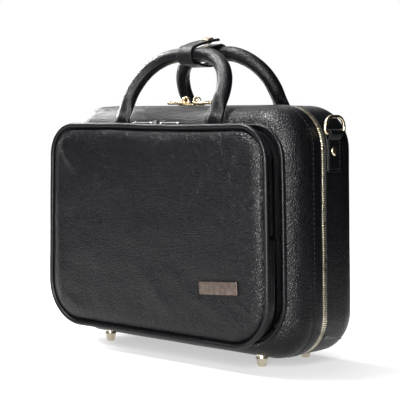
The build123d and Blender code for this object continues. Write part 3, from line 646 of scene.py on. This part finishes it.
creases = [
    ((-0.124, 0.198), (-0.100, 0.170), 0.0055, 0.0016),
    ((-0.127, 0.180), (-0.119, 0.060), 0.0060, 0.0014),
    ((0.070, 0.206), (0.090, 0.186), 0.0040, 0.0011),
    ((0.084, 0.207), (0.098, 0.170), 0.0035, -0.0009),
    ((0.108, 0.206), (0.096, 0.168), 0.0042, 0.0010),
    ((0.122, 0.196), (0.127, 0.120), 0.0050, 0.0010),
    ((-0.004, 0.074), (0.030, 0.044), 0.0080, 0.0006),
    ((0.040, 0.070), (0.118, 0.034), 0.0075, 0.0009),
    ((0.100, 0.050), (0.117, 0.036), 0.0032, 0.0011),
    ((0.106, 0.060), (0.131, 0.046), 0.0040, 0.0010),
    ((-0.110, 0.046), (-0.086, 0.034), 0.0060, 0.0009),
    ((-0.050, 0.205), (-0.062, 0.150), 0.0100, 0.0006),
    ((0.010, 0.204), (0.024, 0.160), 0.0090, 0.0006),
    ((-0.030, 0.032), (0.040, 0.029), 0.0050, 0.0009),
]


def crease_height(x, z):
    """The ridges pushed up in the panel, each fading towards its ends."""
    rise = 0.0
    for (x0, z0), (x1, z1), width, height in creases:
        run = Vector((x1 - x0, z1 - z0))
        gone = Vector((x - x0, z - z0))
        t = gone.dot(run) / run.length_squared
        if -0.3 < t < 1.3:
            off = (gone - run * t).length / width
            fade = max(0.0, 1 - (2 * abs(t - 0.5) / 1.6) ** 2)
            rise += height * fade * exp(-off * off * 1.4)
    return rise


panel_half, panel_half_top, panel_low, panel_high = 0.1335, 0.1295, 0.0245, 0.2055
panel_radius_low, panel_radius_top = 0.0375, 0.0255
panel_seam, panel_fill = -0.0628, 0.0070
plate_x, plate_z = 0.084, 0.071
panel_form = bmesh.new()
bmesh.ops.create_grid(panel_form, x_segments=150, y_segments=104, size=1.0)
panel_mid, panel_tall = (panel_low + panel_high) / 2, (panel_high - panel_low) / 2
for vert in panel_form.verts:
    x, z = vert.co.x * panel_half, vert.co.y * panel_tall
    radius = panel_radius_top if z > 0 else panel_radius_low
    p, q = (abs(x) - panel_half + radius) / radius, (abs(z) - panel_tall + radius) / radius
    if p > 0 and q > 0:
        p, q = p * sqrt(1 - q * q / 2), q * sqrt(1 - p * p / 2)
        x = (panel_half - radius + radius * p) * (1 if x > 0 else -1)
        z = (panel_tall - radius + radius * q) * (1 if z > 0 else -1)
    inside = -(min(max(p, q), 0) + sqrt(max(p, 0) ** 2 + max(q, 0) ** 2) - 1) * radius
    roll = min(1.0, inside / 0.013)
    swell = sqrt(max(0.0, 1 - (1 - roll) ** 2))
    width = panel_half + (panel_half_top - panel_half) * (z + panel_tall) / (2 * panel_tall)
    x, z = x * width / panel_half, z + panel_mid
    soft = min(1.0, inside / 0.02)
    wave = 0.0011 * ripple(x * 17, z * 21, 4.2)
    wave += 0.00045 * ripple(x * 52, z * 60, 8.7)
    pucker = 0.0004 * ripple(x * 150, z * 150, 1.3) * max(0.0, 1 - inside / 0.022)
    crown = 0.0014 * max(0.0, 1 - (x / 0.125) ** 2) * max(0.0, 1 - ((z - 0.125) / 0.09) ** 2)
    plate_hold = exp(-(((x - plate_x) / 0.026) ** 4) - ((z - plate_z) / 0.010) ** 4)
    rise = wave * soft + pucker + crown + crease_height(x, z) * soft
    rise = rise * (1 - plate_hold) - 0.0001 * plate_hold
    lean, drop = sag(x, z)
    vert.co = Vector((x + lean * roll, zip_y + panel_seam - panel_fill * swell - rise, z + drop))
bmesh.ops.recalc_face_normals(panel_form, faces=panel_form.faces)
if sum(f.normal.y for f in panel_form.faces) > 0:
    bmesh.ops.reverse_faces(panel_form, faces=panel_form.faces)
panel_leather = leather("panel_leather", 0.0022, 0.00022, crack_black, face_black, 0.27, 0.42, 2.0)
panel = make_piece(
    "pocket_front", panel_form, panel_leather, "pocket_leather", "pocket_panel", "pocket_flap"
)
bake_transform(panel)

# Piping: a cord rolled in smooth leather, sewn between the panel and the bellows. It runs all
# round the pocket in one piece.
piping_radius = 0.0022


def sagged(stations):
    """Stations round the pocket, moved with its soft edge."""
    moved = []
    for spot, along, out, run in stations:
        bow, drop = sag(spot.x, spot.z)
        moved.append((spot + Vector((bow, 0, drop)), along, out, run))
    return moved


def cord_section(depth, lift, radius, points, flat=1.0):
    """The points round a cord, which may be a little flattened."""
    turns = [2 * pi * k / points for k in range(points)]
    return [(depth + radius * cos(turn), lift + radius * flat * sin(turn)) for turn in turns]


def wander(run, n, spot):
    """The small wavering of a cord that was fed by hand."""
    return (
        0.00035 * ripple(run * 32, 0.2, 5.0),
        0.0003 * ripple(run * 41, 7.1, 2.0),
    )


pocket_stations = sagged(walk_outline(pocket_ring, 0.003))
piping_leather = leather("piping_leather", 0.0008, 0.00004, crack_black, (0.005, 0.005, 0.006), 0.24, 0.38)
piping_section = cord_section(piping_depth, 0.0, piping_radius, 16)
piping_form = sew_round(pocket_stations, piping_section, tube=True, shape=wander)
piping = make_piece(
    "pocket_front_piping", piping_form, piping_leather, "trim_leather", "pocket_piping", "pocket_flap_piping"
)
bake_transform(piping)

# Pocket sides: pleated bellows from the shell to the pocket's zip, and a plain strip from the
# zip to the piping. The bellows stay on the shell.
def crinkle(run, n, spot):
    """The loose folds that run across a pleated side."""
    deep = 0.5 + 0.5 * ripple(run * 60, n * 0.35, 6.0)
    return (
        0.0006 * ripple(run * 70, n, 1.0),
        -0.0016 * deep + 0.0011 * ripple(run * 210, n * 0.8, 9.0),
    )


bellows_section = [(-0.0436, -0.0022), (-0.0452, -0.0030), (-0.0466, -0.0052), (-0.0482, -0.0078)]
bellows_section += [(-0.0500, -0.0090), (-0.0516, -0.0082), (-0.0530, -0.0062), (-0.0544, -0.0042)]
bellows_section += [(-0.0556, -0.0034), (-0.0568, -0.0032), (-0.0576, -0.0033)]
# Painted shade: the bellows sit in a recess, so their leather gets far darker colours and far less shine
# than the other leather, to stand in for the shade there.
painted_shade_fold, painted_shade_pleat = (0.0005, 0.0005, 0.0008), (0.0006, 0.0006, 0.001)
bellows_leather = leather("bellows_leather", 0.0011, 0.00012, painted_shade_fold, painted_shade_pleat, 0.3, 0.46, 4.0, 0.02)
bellows_form = sew_round(pocket_stations, bellows_section, shape=crinkle)
bellows = make_piece(
    "pocket_bellows", bellows_form, bellows_leather, "pocket_leather", "pocket_gusset", body="lid"
)
give_wall(bellows, 0.0011, 0.0004)
strip_section = [(-0.0582, -0.0040), (-0.0582, -0.0026), (-0.0588, -0.0021), (-0.0605, -0.0019)]
strip_section += [(-0.0625, -0.0017), (-0.0645, -0.0012), (-0.0652, -0.0022), (-0.0640, -0.0030)]
strip_section += [(-0.0610, -0.0036)]
strip_form = sew_round(pocket_stations, strip_section, tube=True, shape=waver(0.0003, 50, 0.4, 2.0))
strip = make_piece("pocket_strip", strip_form, trim_leather, "pocket_leather", "pocket_flap_gusset")
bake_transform(strip)

# Welt: the second line of piping, which covers the seam between the bellows and the shell.
welt_depth, welt_radius = -0.0446, 0.0017
welt_section = cord_section(welt_depth, 0.0002, welt_radius, 14)
welt_form = sew_round(pocket_stations, welt_section, tube=True, shape=wander)
make_piece(
    "pocket_welt_piping", welt_form, piping_leather, "trim_leather", "pocket_welt", body="lid"
)

# Pocket zip: a fine black coil in two rows, over the top and down both sides to the fold. Below
# it a strip of leather closes the gap round the bottom, cut square at both ends.
coil_black = metal("coil_black", (0.05, 0.05, 0.055), 0.42, (0.02, 0.02, 0.022))
coil_pitch, coil_depth, coil_lift = 0.0013, -0.0579, -0.0021
coil_tooth = one_tooth(0.00075, 0.0019, 0.0015, 0.0007)
for row_name, row_node, side, shift, body in (
    ("pocket_coil_rear", "pocket_zip_rear", 1, 0, "lid"),
    ("pocket_coil_front", "pocket_zip_front", -1, 1, "pocket_top"),
):
    coil_ring = walk_outline(pocket_ring, coil_pitch / 2)[shift::2]
    row = sagged([s for s in coil_ring if s[0].z > fold_height + 0.001])
    coil_form = lay_teeth(coil_tooth, row, coil_depth + side * 0.0011, side, coil_lift)
    make_piece(row_name, coil_form, coil_black, "pocket_zip", row_node, body=body, sharp=30)
low_stations = [s for s in pocket_stations if s[0].z < fold_height - 0.0006]
turn_at = next(
    k for k in range(len(low_stations)) if low_stations[k][3] - low_stations[k - 1][3] > 0.01
)
low_stations = low_stations[turn_at:] + low_stations[:turn_at]
cover_section = [(-0.0545, -0.0044), (-0.0545, -0.0022), (-0.0552, -0.0012), (-0.0575, -0.0009)]
cover_section += [(-0.0600, -0.0008), (-0.0612, -0.0012), (-0.0614, -0.0022), (-0.0612, -0.0044)]
cover_form = sew_round(
    low_stations, cover_section, closed=False, tube=True, shape=waver(0.00035, 55, 0.3, 7.0)
)
make_piece(
    "pocket_low_cover", cover_form, trim_leather, "trim_leather", "pocket_zip_ends", body="lid", sharp=45
)
cover_stitches = []
for depth in (-0.0556, -0.0602):
    for spot, along, out, run in low_stations[1:-1]:
        cover_stitches.append((spot + out * -0.0008 + Vector((0, zip_y + depth, 0)), along, out))
sew_stitches("low_cover_stitches", cover_stitches, "lid", length=0.0021, width=0.0005)

# Name plate: a bare bevelled plate, rose gold and finely brushed along its length, riveted
# through the panel a little askew.
along_plate = (0.08, 1, 1)
# Painted shade: both of the plate's colours are set far darker than rose gold, to stand in for the dark
# surroundings it reflects.
rose_metal = metal("rose_metal", (0.19, 0.15, 0.13), 0.2, (0.06, 0.048, 0.041), 0.00002, along_plate)
paint_nodes(rose_metal, "pocket_plate")

# Pocket sliders: two small sliders of plated nickel on the coil, each with a flat wire pull that
# lies out to its side.
nickel = metal("nickel", (0.68, 0.68, 0.66), 0.2, (0.5, 0.5, 0.48))
for side_name in ("left", "right"):
    paint_nodes(nickel, f"pocket_slider_{side_name}", f"pocket_pull_{side_name}")

# Handles: two rolled leather tubes, turned round a cord and sewn along one overlapped edge. Each
# flattens into a tab that is glued over its shell's edge and sewn down, and it folds where the
# flat part leaves the shell.
handle_span, handle_bend, handle_round = 0.0575, 0.043, 0.0065
leg_from, base_half_width, base_half_depth = 0.057, 0.0094, 0.0026
edge_centre_z = case_top - shell_edge
seat_reach, seat_arc, tab_wall, tab_drop, tab_seam = 0.0288, 0.0262, 0.0021, 0.0238, 0.0078
seam_turn = radians(147)
front_hold = (-1, -front_face, radians(30), 28, 0.063)
rear_hold = (1, rear_face, radians(46), 30.2, 0.0598)
handle_leather = leather("handle_leather", 0.0015, 0.00013, crack_black, face_black, 0.26, 0.4, 2.4)
roll_turns = [0, 18, 36, 54, 72, 90, 105, 118, 128, 136, 140, 143, 149, 156, 165, 176, 188]
roll_turns += [204, 220, 238, 256, 274, 292, 310, 328, 344]
roll_section = [
    (-handle_round * sin(radians(turn)), handle_round * cos(radians(turn))) for turn in roll_turns
]


def ease(value):
    """A smooth rise from nought to one."""
    value = min(1.0, max(0.0, value))
    return value * value * (3 - 2 * value)


def roll_shape(run, n, spot):
    """How far a point of the tube moves: the flat ends, the overlapped seam and the wrinkles."""
    degree = roll_turns[n % len(roll_turns)]
    turn = radians(degree)
    leg = abs(spot.x) > leg_from
    flare = ease(spot.z / 0.02) if leg else 1.0
    half_width = base_half_width + (handle_round - base_half_width) * flare
    half_depth = base_half_depth + (handle_round - base_half_depth) * flare
    across, over = cos(turn), sin(turn)
    if leg and spot.z < 0:
        flat = ease(-spot.z / 0.012)
        half_depth = base_half_depth + (tab_wall / 2 - base_half_depth) * flat
        across = across * abs(across) ** (-0.55 * flat) if abs(across) > 0.01 else across
        over = over * abs(over) ** (-0.6 * flat) if abs(over) > 0.01 else over
    seam = 0.0007 * ease((degree - 137) / 5) * (1 - ease((degree - 150) / 36))
    inner = max(0.0, -cos(turn)) ** 2
    wrinkle = 0.0004 * inner * (1.0 if 0.008 < abs(spot.x) < leg_from else 0.25)
    wrinkle *= ripple(run * 330, turn * 0.7, 1.7)
    low = max(0.0, 1 - flare) * (1.0 if spot.z > 0 else max(0.0, 1 + spot.z / 0.012))
    fold = 0.0005 * low * sin(7 * turn + 3 * ripple(run * 60, turn, 5))
    lumps = 0.0003 * ripple(run * 55, 1.3 * sin(turn), 1.3 * cos(turn))
    more = seam * flare + wrinkle + fold + lumps * max(flare, 0.3)
    depth = -(half_depth + more) * over + handle_round * sin(turn)
    return (depth, half_width * across + more * cos(turn) - handle_round * cos(turn))


def handle_pivot(side, face, seat_turn):
    """The line where a handle folds: its depth from the zip, and its height."""
    reach = face - shell_edge + seat_reach * cos(seat_turn)
    return side * reach, edge_centre_z + seat_reach * sin(seat_turn)


def seat_point(side, face, seat_turn, lean, point):
    """Where a point of an upright handle comes to lie: leant over, or laid round the shell."""
    if point.z >= 0:
        pivot_y, pivot_z = handle_pivot(side, face, seat_turn)
        leant = Matrix.Rotation(radians(lean), 3, "X") @ Vector((point.x, point.y * side, point.z))
        return Vector((point.x, zip_y + pivot_y + side * leant.y, pivot_z + leant.z))
    settled = ease(-point.z / 0.011)
    middle = seat_reach + (shell_edge + tab_wall / 2 + 0.0001 - seat_reach) * settled
    bent = min(seat_turn, -point.z / seat_arc)
    turn = seat_turn - bent
    radius = middle + point.y * side
    y = face - shell_edge + radius * cos(turn)
    z = edge_centre_z + radius * sin(turn) - max(0.0, -point.z - seat_turn * seat_arc)
    return Vector((point.x, zip_y + side * y, z))


for handle_name, hold, body in (("front_handle", front_hold, "lid"), ("rear_handle", rear_hold, "case")):
    side, face, seat_turn, lean, rise = hold
    tail = seat_turn * seat_arc + tab_drop
    corners = [(-handle_span, -0.07), (handle_span, -0.07), (handle_span, rise), (-handle_span, rise)]
    ring = rounded_outline(corners, [0.001, 0.001, handle_bend, handle_bend])
    whole_line = walk_outline(ring, 0.0016)
    low = next(k for k, s in enumerate(whole_line) if s[0].z < -tail)
    line = [s for s in whole_line[low:] + whole_line[:low] if s[0].z > -tail]
    tube = sew_round(line, roll_section, closed=False, tube=True, shape=roll_shape)
    for vert in tube.verts:
        vert.co = seat_point(side, face, seat_turn, lean, vert.co - Vector((0, zip_y, 0)))
    bmesh.ops.recalc_face_normals(tube, faces=tube.faces)
    roll_name, nodes = f"{handle_name}_roll", (handle_name, f"{handle_name}_tabs")
    roll = make_piece(roll_name, tube, handle_leather, "handle_leather", *nodes, sharp=50)
    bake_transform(roll)
    seam_spots, tab_spots = [], []
    for spot, along, out, run in line[::2]:
        push = out * cos(seam_turn) + Vector((0, -sin(seam_turn), 0))
        if spot.z > 0.018 or abs(spot.x) < leg_from:
            near = spot + push * (handle_round + 0.0006)
            trio = (near, near + along * 0.001, spot + push * 0.009)
            here, ahead, there = (seat_point(side, face, seat_turn, lean, p) for p in trio)
            seam_spots.append((here, ahead - here, there - here))
        elif spot.z < -0.008:
            for shift in (-tab_seam, tab_seam):
                outer = spot + Vector((shift, side * tab_wall * 0.5, 0))
                trio = (outer, outer - Vector((0, 0, 0.001)), outer + Vector((0, side * 0.001, 0)))
                here, ahead, there = (seat_point(side, face, seat_turn, lean, p) for p in trio)
                tab_spots.append((here, ahead - here, there - here))
    sew_stitches(f"{handle_name}_stitches", seam_spots, handle_name, length=0.0021)
    sew_stitches(f"{handle_name}_tab_stitches", tab_spots, body, length=0.0022)


def ribbon(middle_x, width, line, wobble=0.0):
    """A strip of leather across X, drawn along a line of (depth, height) points."""
    across = []
    for k in range(7):
        spot = Vector((middle_x + width * (k / 6 - 0.5), 0, 0))
        across.append((spot, Vector((1, 0, 0)), Vector((0, 0, 1)), width * k / 6))
    return sew_round(
        across,
        line,
        closed=False,
        shape=lambda run, n, spot: [wobble * ripple(run * 90, n * 0.35, seed) for seed in (2.2, 8.2)],
    )


# Strap: a leather wrap sewn round the front handle, whose flap snaps down on the tongue of a
# second wrap round the rear handle. On the real case the lower run is one closed loop.
strap_leather = leather("strap_leather", 0.0014, 0.00013, crack_black, face_black, 0.28, 0.42, 2.4)
strap_wide, strap_wall, strap_mid, strap_seam = 0.018, 0.0024, 0.0078, 0.0075
flap_slope, flap_reach, flap_bow, run_sag, tongue_slope = 13, 0.033, 0.0009, 0.0032, 15
flap_turn = 90 + flap_slope


def handle_top(side, face, seat_turn, lean, rise):
    """The middle of a handle's grip: its depth from the zip, and its height."""
    y, z = handle_pivot(side, face, seat_turn)
    return (y - side * rise * sin(radians(lean)), z + rise * cos(radians(lean)))


def round_tube(centre, turn, radius=strap_mid):
    """A point round a handle's tube, by its angle above the way to the back."""
    return (centre[0] + radius * cos(radians(turn)), centre[1] + radius * sin(radians(turn)))


front_top, rear_top = handle_top(*front_hold), handle_top(*rear_hold)
flap_start = round_tube(front_top, flap_turn)
flap_way = (cos(radians(flap_slope)), sin(radians(flap_slope)))
under_front = round_tube(front_top, -70)
under_rear = round_tube(rear_top, -100)


def under_run(start_y, end_y, steps):
    """Points of the strap's lower run, which hangs a little between the two handles."""
    run = under_rear[0] - under_front[0]
    spots = []
    for k in range(steps + 1):
        y = start_y + (end_y - start_y) * k / steps
        share = (y - under_front[0]) / run
        level = under_front[1] + (under_rear[1] - under_front[1]) * share
        spots.append((y, level - run_sag * 4 * share * (1 - share)))
    return spots


def flap_point(gone):
    """A point of the flap, by how far it lies from the front handle."""
    bow = flap_bow * sin(pi * gone / flap_reach)
    return (flap_start[0] + flap_way[0] * gone, flap_start[1] + flap_way[1] * gone + bow)


flap_line = [flap_point(flap_reach * (1 - k / 20)) for k in range(21)]
cuff_line = [round_tube(front_top, flap_turn + 8 * k) for k in range(1, 22)]
wrap_line = flap_line + cuff_line + under_run(under_front[0] + 0.0004, -0.0002, 6)
wrap_form = ribbon(0, strap_wide, wrap_line, 0.00016)
wrap = make_piece(
    "strap_wrap", wrap_form, strap_leather, "strap_leather", "wrap_front", "wrap_flap", sharp=45
)
give_wall(wrap, strap_wall, 0.0007, offset=0.0)
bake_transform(wrap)
tongue_start = round_tube(rear_top, 90 + tongue_slope)
tongue_way = (-cos(radians(tongue_slope)), -sin(radians(tongue_slope)))
loop_line = under_run(0.0022, under_rear[0] - 0.0004, 6)
loop_line += [round_tube(rear_top, -100 + 8.2 * k) for k in range(1, 25)]
for gone in (0.0014 * k for k in range(1, 11)):
    loop_line.append((tongue_start[0] + gone * tongue_way[0], tongue_start[1] + gone * tongue_way[1]))
loop_form = ribbon(0, strap_wide, loop_line, 0.00016)
loop = make_piece(
    "strap_loop", loop_form, strap_leather, "strap_leather", "wrap_rear", body="rear_handle", sharp=45
)
give_wall(loop, strap_wall, 0.0007, offset=0.0)
for seam_name, centre, low, high, body in (
    ("strap_cuff_stitches", front_top, 112, 268, "front_handle"),
    ("strap_loop_stitches", rear_top, -80, 98, "rear_handle"),
):
    spots = []
    for x in (-strap_seam, strap_seam):
        for turn in range(low, high, 19):
            way = Vector((0, cos(radians(turn)), sin(radians(turn))))
            spot = Vector((x, zip_y + centre[0], centre[1])) + way * (strap_mid + strap_wall / 2)
            spots.append((spot, Vector((0, -way.z, way.y)), way))
    sew_stitches(seam_name, spots, body, length=0.0022)
flap_spots = []
for x in (-strap_seam, strap_seam):
    for k in range(10):
        y, z = flap_point(0.0045 + 0.003 * k)
        spot = Vector((x, zip_y + y, z + strap_wall / 2))
        flap_spots.append((spot, Vector((0, *flap_way)), Vector((0, -flap_way[1], flap_way[0]))))
sew_stitches("strap_flap_stitches", flap_spots, "strap_flap", length=0.0022)

# Snap: a pressed cap with a rolled rim on the flap, its socket below it and a stud on the tongue,
# all of thin plated brass that is riveted through the leather.
fitting_gold = metal("fitting_gold", (0.74, 0.62, 0.44), 0.2, (0.56, 0.46, 0.31), 0.00001)
snap_reach = 0.025


def facing(way):
    """The turn that points a form's Z axis along a way."""
    return way.to_track_quat("Z", "Y").to_matrix().to_4x4()


cap_rows = [(0.0, 0.0013), (0.0026, 0.0012), (0.0034, 0.00095), (0.0039, 0.0008), (0.0043, 0.001)]
cap_rows += [(0.0049, 0.0014), (0.0056, 0.0013), (0.006, 0.0008), (0.0061, 0.0002), (0.0058, -0.0002)]
cap_form = spin_profile(cap_rows)
cap_at = Vector((0, zip_y + flap_start[0], flap_start[1])) + Vector((0, *flap_way)) * snap_reach
cap_up = Vector((0, -flap_way[1], flap_way[0]))
move_form(cap_form, Matrix.Translation(cap_at + cap_up * (strap_wall / 2 + 0.0008)) @ facing(cap_up))
make_piece("snap_cap_disc", cap_form, fitting_gold, "snap_metal", "snap_cap", body="strap_flap", sharp=60)
paint_nodes(fitting_gold, "snap_socket", "snap_stud")

# Main sliders: cast bodies that straddle the teeth, each with a round bail, and a pull like a
# twisted cord that hangs in the bail. All are plated pale gold and a little dulled by handling.
slider_gold = metal("slider_gold", (0.78, 0.66, 0.46), 0.2, (0.5, 0.4, 0.26), 0.00001)
left_slider_x, right_slider_x, pull_length = -0.02, -0.006, 0.019
cast_height, bail_height, web_height, pull_height = 0.2253, 0.2292, 0.2236, 0.2281
cast_rows = [(0.0, -0.0004), (0.0004, 0.0), (0.0012, 0.0), (0.0018, -0.0006), (0.0021, -0.0016)]


def rounded_box(middle_x, half_x, half_z, radius, step):
    """Stations round a small box with rounded corners."""
    corners = [(middle_x - half_x, -half_z), (middle_x + half_x, -half_z)]
    corners += [(middle_x + half_x, half_z), (middle_x - half_x, half_z)]
    return walk_outline(rounded_outline(corners, [radius] * 4), step)


def twist(run, n, spot):
    """The strands of a twisted cord."""
    lift, turn = 0.00035 * sin(run * 2700 + n * pi / 5), n * pi / 5
    return (lift * cos(turn), lift * sin(turn))


def lay_flat(form, height):
    """Lays an upright form down over the zip, at a height."""
    laid = Matrix.Translation((0, zip_y, height)) @ Matrix.Rotation(radians(90), 4, "X")
    move_form(form, laid @ Matrix.Translation((0, -zip_y, 0)))


for side_name, side, x in (("left", -1, left_slider_x), ("right", 1, right_slider_x)):
    plate_form = sew_round(rounded_box(x, 0.0065, 0.005, 0.0026, 0.0008), cast_rows)
    lay_flat(plate_form, cast_height)
    bail_section = cord_section(0.0, 0.0, 0.0016, 12, 0.71875)
    bail_form = sew_round(rounded_box(0, 0.0038, 0.0038, 0.00375, 0.0006), bail_section, tube=True)
    move_form(bail_form, Matrix.Translation((x, 0, bail_height)))
    web_form = bmesh.new()
    bmesh.ops.create_cube(web_form, size=1)
    web_size = Matrix.Diagonal((0.008, 0.0004, 0.004, 1))
    move_form(web_form, Matrix.Translation((x, zip_y, web_height)) @ web_size)
    slider, pull = f"main_slider_{side_name}", f"main_pull_{side_name}"
    slider_form = join_forms([plate_form, bail_form, web_form])
    make_piece(f"{slider}_cast", slider_form, slider_gold, "slider_metal", slider, body=slider, sharp=50)
    pull_ring = rounded_box(x + side * pull_length / 2, pull_length / 2, 0.006, 0.0045, 0.0004)
    pull_form = sew_round(pull_ring, cord_section(0.0, 0.0, 0.0015, 10), tube=True, shape=twist)
    lay_flat(pull_form, pull_height)
    make_piece(f"{pull}_cord", pull_form, slider_gold, "slider_metal", pull, body=pull)

# Strap rings: a leather tab is folded round each ring's bar, sewn in a box and riveted to the
# side of the rear shell. The ring is bent from round wire and plated gold.
tab_depth, tab_wide, layer = 0.013, 0.0175, 0.0011
bar_x, bar_z, bar_turn, rivet_z, box_seam = 0.14328, 0.2015, 0.0026, 0.186, 0.0071
corner_x, corner_z, side_lean = 0.10427, case_top - case_radius, 0.0207


def skin_x(z):
    """How far out the case's side is at a height."""
    if z < corner_z:
        return case_half_top + (case_top - z) * side_lean
    return corner_x + sqrt(case_radius**2 - (z - corner_z) ** 2)


fold_line = [(skin_x(0.169 + 0.0025 * k) + layer / 2, 0.169 + 0.0025 * k) for k in range(12)]
for turn in range(170, -40, -20):
    fold_line.append((bar_x + bar_turn * cos(radians(turn)), bar_z + bar_turn * sin(radians(turn))))
fold_line += [(skin_x(0.1955 - 0.0025 * k) + layer * 1.5, 0.1955 - 0.0025 * k) for k in range(12)]
rivet_rows = [(0.0, 0.0015), (0.0012, 0.00145), (0.0024, 0.0011), (0.0033, 0.0006), (0.004, 0.0001)]
rivet_rows += [(0.0041, -0.0004)]
for side_name, side in (("left", -1), ("right", 1)):
    tab_form = ribbon(0, tab_wide, fold_line, 0.00012)
    turn = Matrix.Rotation(radians(-90 * side), 4, "Z") @ Matrix.Translation((0, -zip_y, 0))
    move_form(tab_form, Matrix.Translation((0, zip_y + tab_depth, 0)) @ turn)
    tab_node, rivet_node = f"dring_tab_{side_name}", f"dring_rivet_{side_name}"
    tab_name = f"ring_tab_{side_name}"
    tab = make_piece(
        f"{tab_name}_leather", tab_form, trim_leather, "trim_leather", tab_node, body="case", sharp=45
    )
    give_wall(tab, layer, 0.0004, offset=0.0)
    seam = [(y, 0.1712 + 0.0032 * k, False) for k in range(9) for y in (-box_seam, box_seam)]
    seam += [(0.0035 * k - 0.0053, z, True) for z in (0.1706, 0.1972) for k in range(4)]
    spots = []
    for y, z, crosswise in seam:
        spot = Vector((side * (skin_x(z) + 2 * layer), zip_y + tab_depth + y, z))
        along = Vector((0, 1, 0)) if crosswise else Vector((-side * side_lean, 0, 1))
        spots.append((spot, along, Vector((side, 0, side_lean))))
    sew_stitches(f"{tab_name}_stitches", spots, "case", length=0.0023)
    rivet_form = spin_profile(rivet_rows, 28)
    rivet_at = Vector((side * (skin_x(rivet_z) + 2 * layer), zip_y + tab_depth, rivet_z))
    move_form(rivet_form, Matrix.Translation(rivet_at) @ facing(Vector((side, 0, side_lean))))
    make_piece(
        f"ring_rivet_{side_name}", rivet_form, fitting_gold, "ring_metal", rivet_node, body="case", sharp=60
    )
    paint_nodes(fitting_gold, f"dring_{side_name}")

# Studio: a white floor that takes a soft shadow near the case, cast by the lamps and deepened by
# painted shadow where its glow is turned down, a soft lamp to the left, another over it and one
# beside the camera. Two dark cards, behind on the right and in front on the left, show in
# reflections alone.
def stage_sheet(name, form):
    """A flat sheet that belongs to the studio, and the nodes of its paint."""
    mesh = form_mesh(name, form)
    sheet = add_object(name, mesh)
    paint = bpy.data.materials.new(f"{name}_paint")
    paint.use_nodes = True
    paint.node_tree.nodes.remove(paint.node_tree.nodes["Principled BSDF"])
    mesh.materials.append(paint)
    return sheet, paint.node_tree


def seen_rays(tree):
    """One for rays from the camera and from shiny surfaces, and nought for the others."""
    rays = add_node(tree, "LightPath")
    glossy, clear = rays.outputs["Is Glossy Ray"], rays.outputs["Is Transmission Ray"]
    shiny = add_node(tree, "Math", glossy, clear, operation="MAXIMUM")
    return add_node(tree, "Math", rays.outputs["Is Camera Ray"], shiny, operation="MAXIMUM")


floor_form = bmesh.new()
bmesh.ops.create_grid(floor_form, x_segments=2, y_segments=2, size=4.0)
tree = stage_sheet("floor", floor_form)[1]
# Painted shadow: near the case the floor's glow is turned down to half, which darkens the floor round it on
# top of the shadow the lamps cast; the glow rises to full white further off.
near_case, far_off, painted_shadow_glow = 0.15, 0.34, 0.5
paper_lit = add_node(tree, "BsdfDiffuse", (0.25, 0.25, 0.25, 1))
paper_place = add_node(tree, "TexCoord").outputs["Object"]
paper_near = add_node(tree, "VectorMath", paper_place, (1, 2, 1), operation="MULTIPLY")
paper_far = add_node(tree, "VectorMath", paper_near.outputs[0], operation="LENGTH")
painted_shadow_fade = add_node(
    tree, "MapRange", paper_far.outputs["Value"], near_case, far_off, painted_shadow_glow, 1.0
)
paper_glow = add_node(tree, "Emission", (1, 1, 1, 1), painted_shadow_fade)
paper_seen = add_node(tree, "AddShader", paper_lit, paper_glow)
paper_bounce = add_node(tree, "BsdfDiffuse", (0.8, 0.8, 0.8, 1))
paper_mix = add_node(tree, "MixShader", seen_rays(tree), paper_bounce, paper_seen)
tree.links.new(paper_mix.outputs[0], tree.nodes["Material Output"].inputs["Surface"])

bpy.context.scene.view_settings.view_transform = "Standard"
world = bpy.data.worlds.new("studio")
bpy.context.scene.world = world
world.use_nodes = True
tree = world.node_tree
strength = add_node(tree, "MapRange", seen_rays(tree), 0.0, 1.0, 0.3, 1.0)
tree.links.new(strength.outputs[0], tree.nodes["Background"].inputs["Strength"])
tree.nodes["Background"].inputs["Color"].default_value = (1, 1, 1, 1)


def soft_lamp(name, turn, rise, reach, width, height, power):
    """A soft box lamp."""
    lamp = stand_off(name, bpy.data.lights.new(name, "AREA"), turn, rise, reach)
    lamp.data.shape = "RECTANGLE"
    lamp.data.size = width
    lamp.data.size_y = height
    lamp.data.energy = power


soft_lamp("lamp_left", -94, 26, 1.5, 0.3, 0.8, 80)
soft_lamp("lamp_top", -50, 66, 1.4, 0.4, 0.3, 44)
soft_lamp("lamp_front", 32, 16, 1.7, 0.14, 1.2, 80)


def dark_card(name, turn, reach, width, height, low, shade):
    """A card that only reflections show, so that glossy leather facing it stays dark."""
    form = bmesh.new()
    bmesh.ops.create_grid(form, x_segments=1, y_segments=1, size=0.5)
    bmesh.ops.scale(form, vec=(width, height, 1), verts=form.verts)
    way = Vector((sin(radians(turn)), -cos(radians(turn)), 0))
    move_form(form, Matrix.Translation(way * reach + Vector((0, 0, low + height / 2))) @ facing(way))
    card, tree = stage_sheet(name, form)
    glow = add_node(tree, "Emission", (1, 1, 1, 1), shade)
    tree.links.new(glow.outputs[0], tree.nodes["Material Output"].inputs["Surface"])
    card.visible_camera = False
    card.visible_shadow = False
    card.visible_diffuse = False


dark_card("card_side", 135, 0.34, 1.6, 1.2, 0.002, 0.01)
dark_card("card_front", -50, 0.6, 1.2, 0.9, 0.002, 0.2)
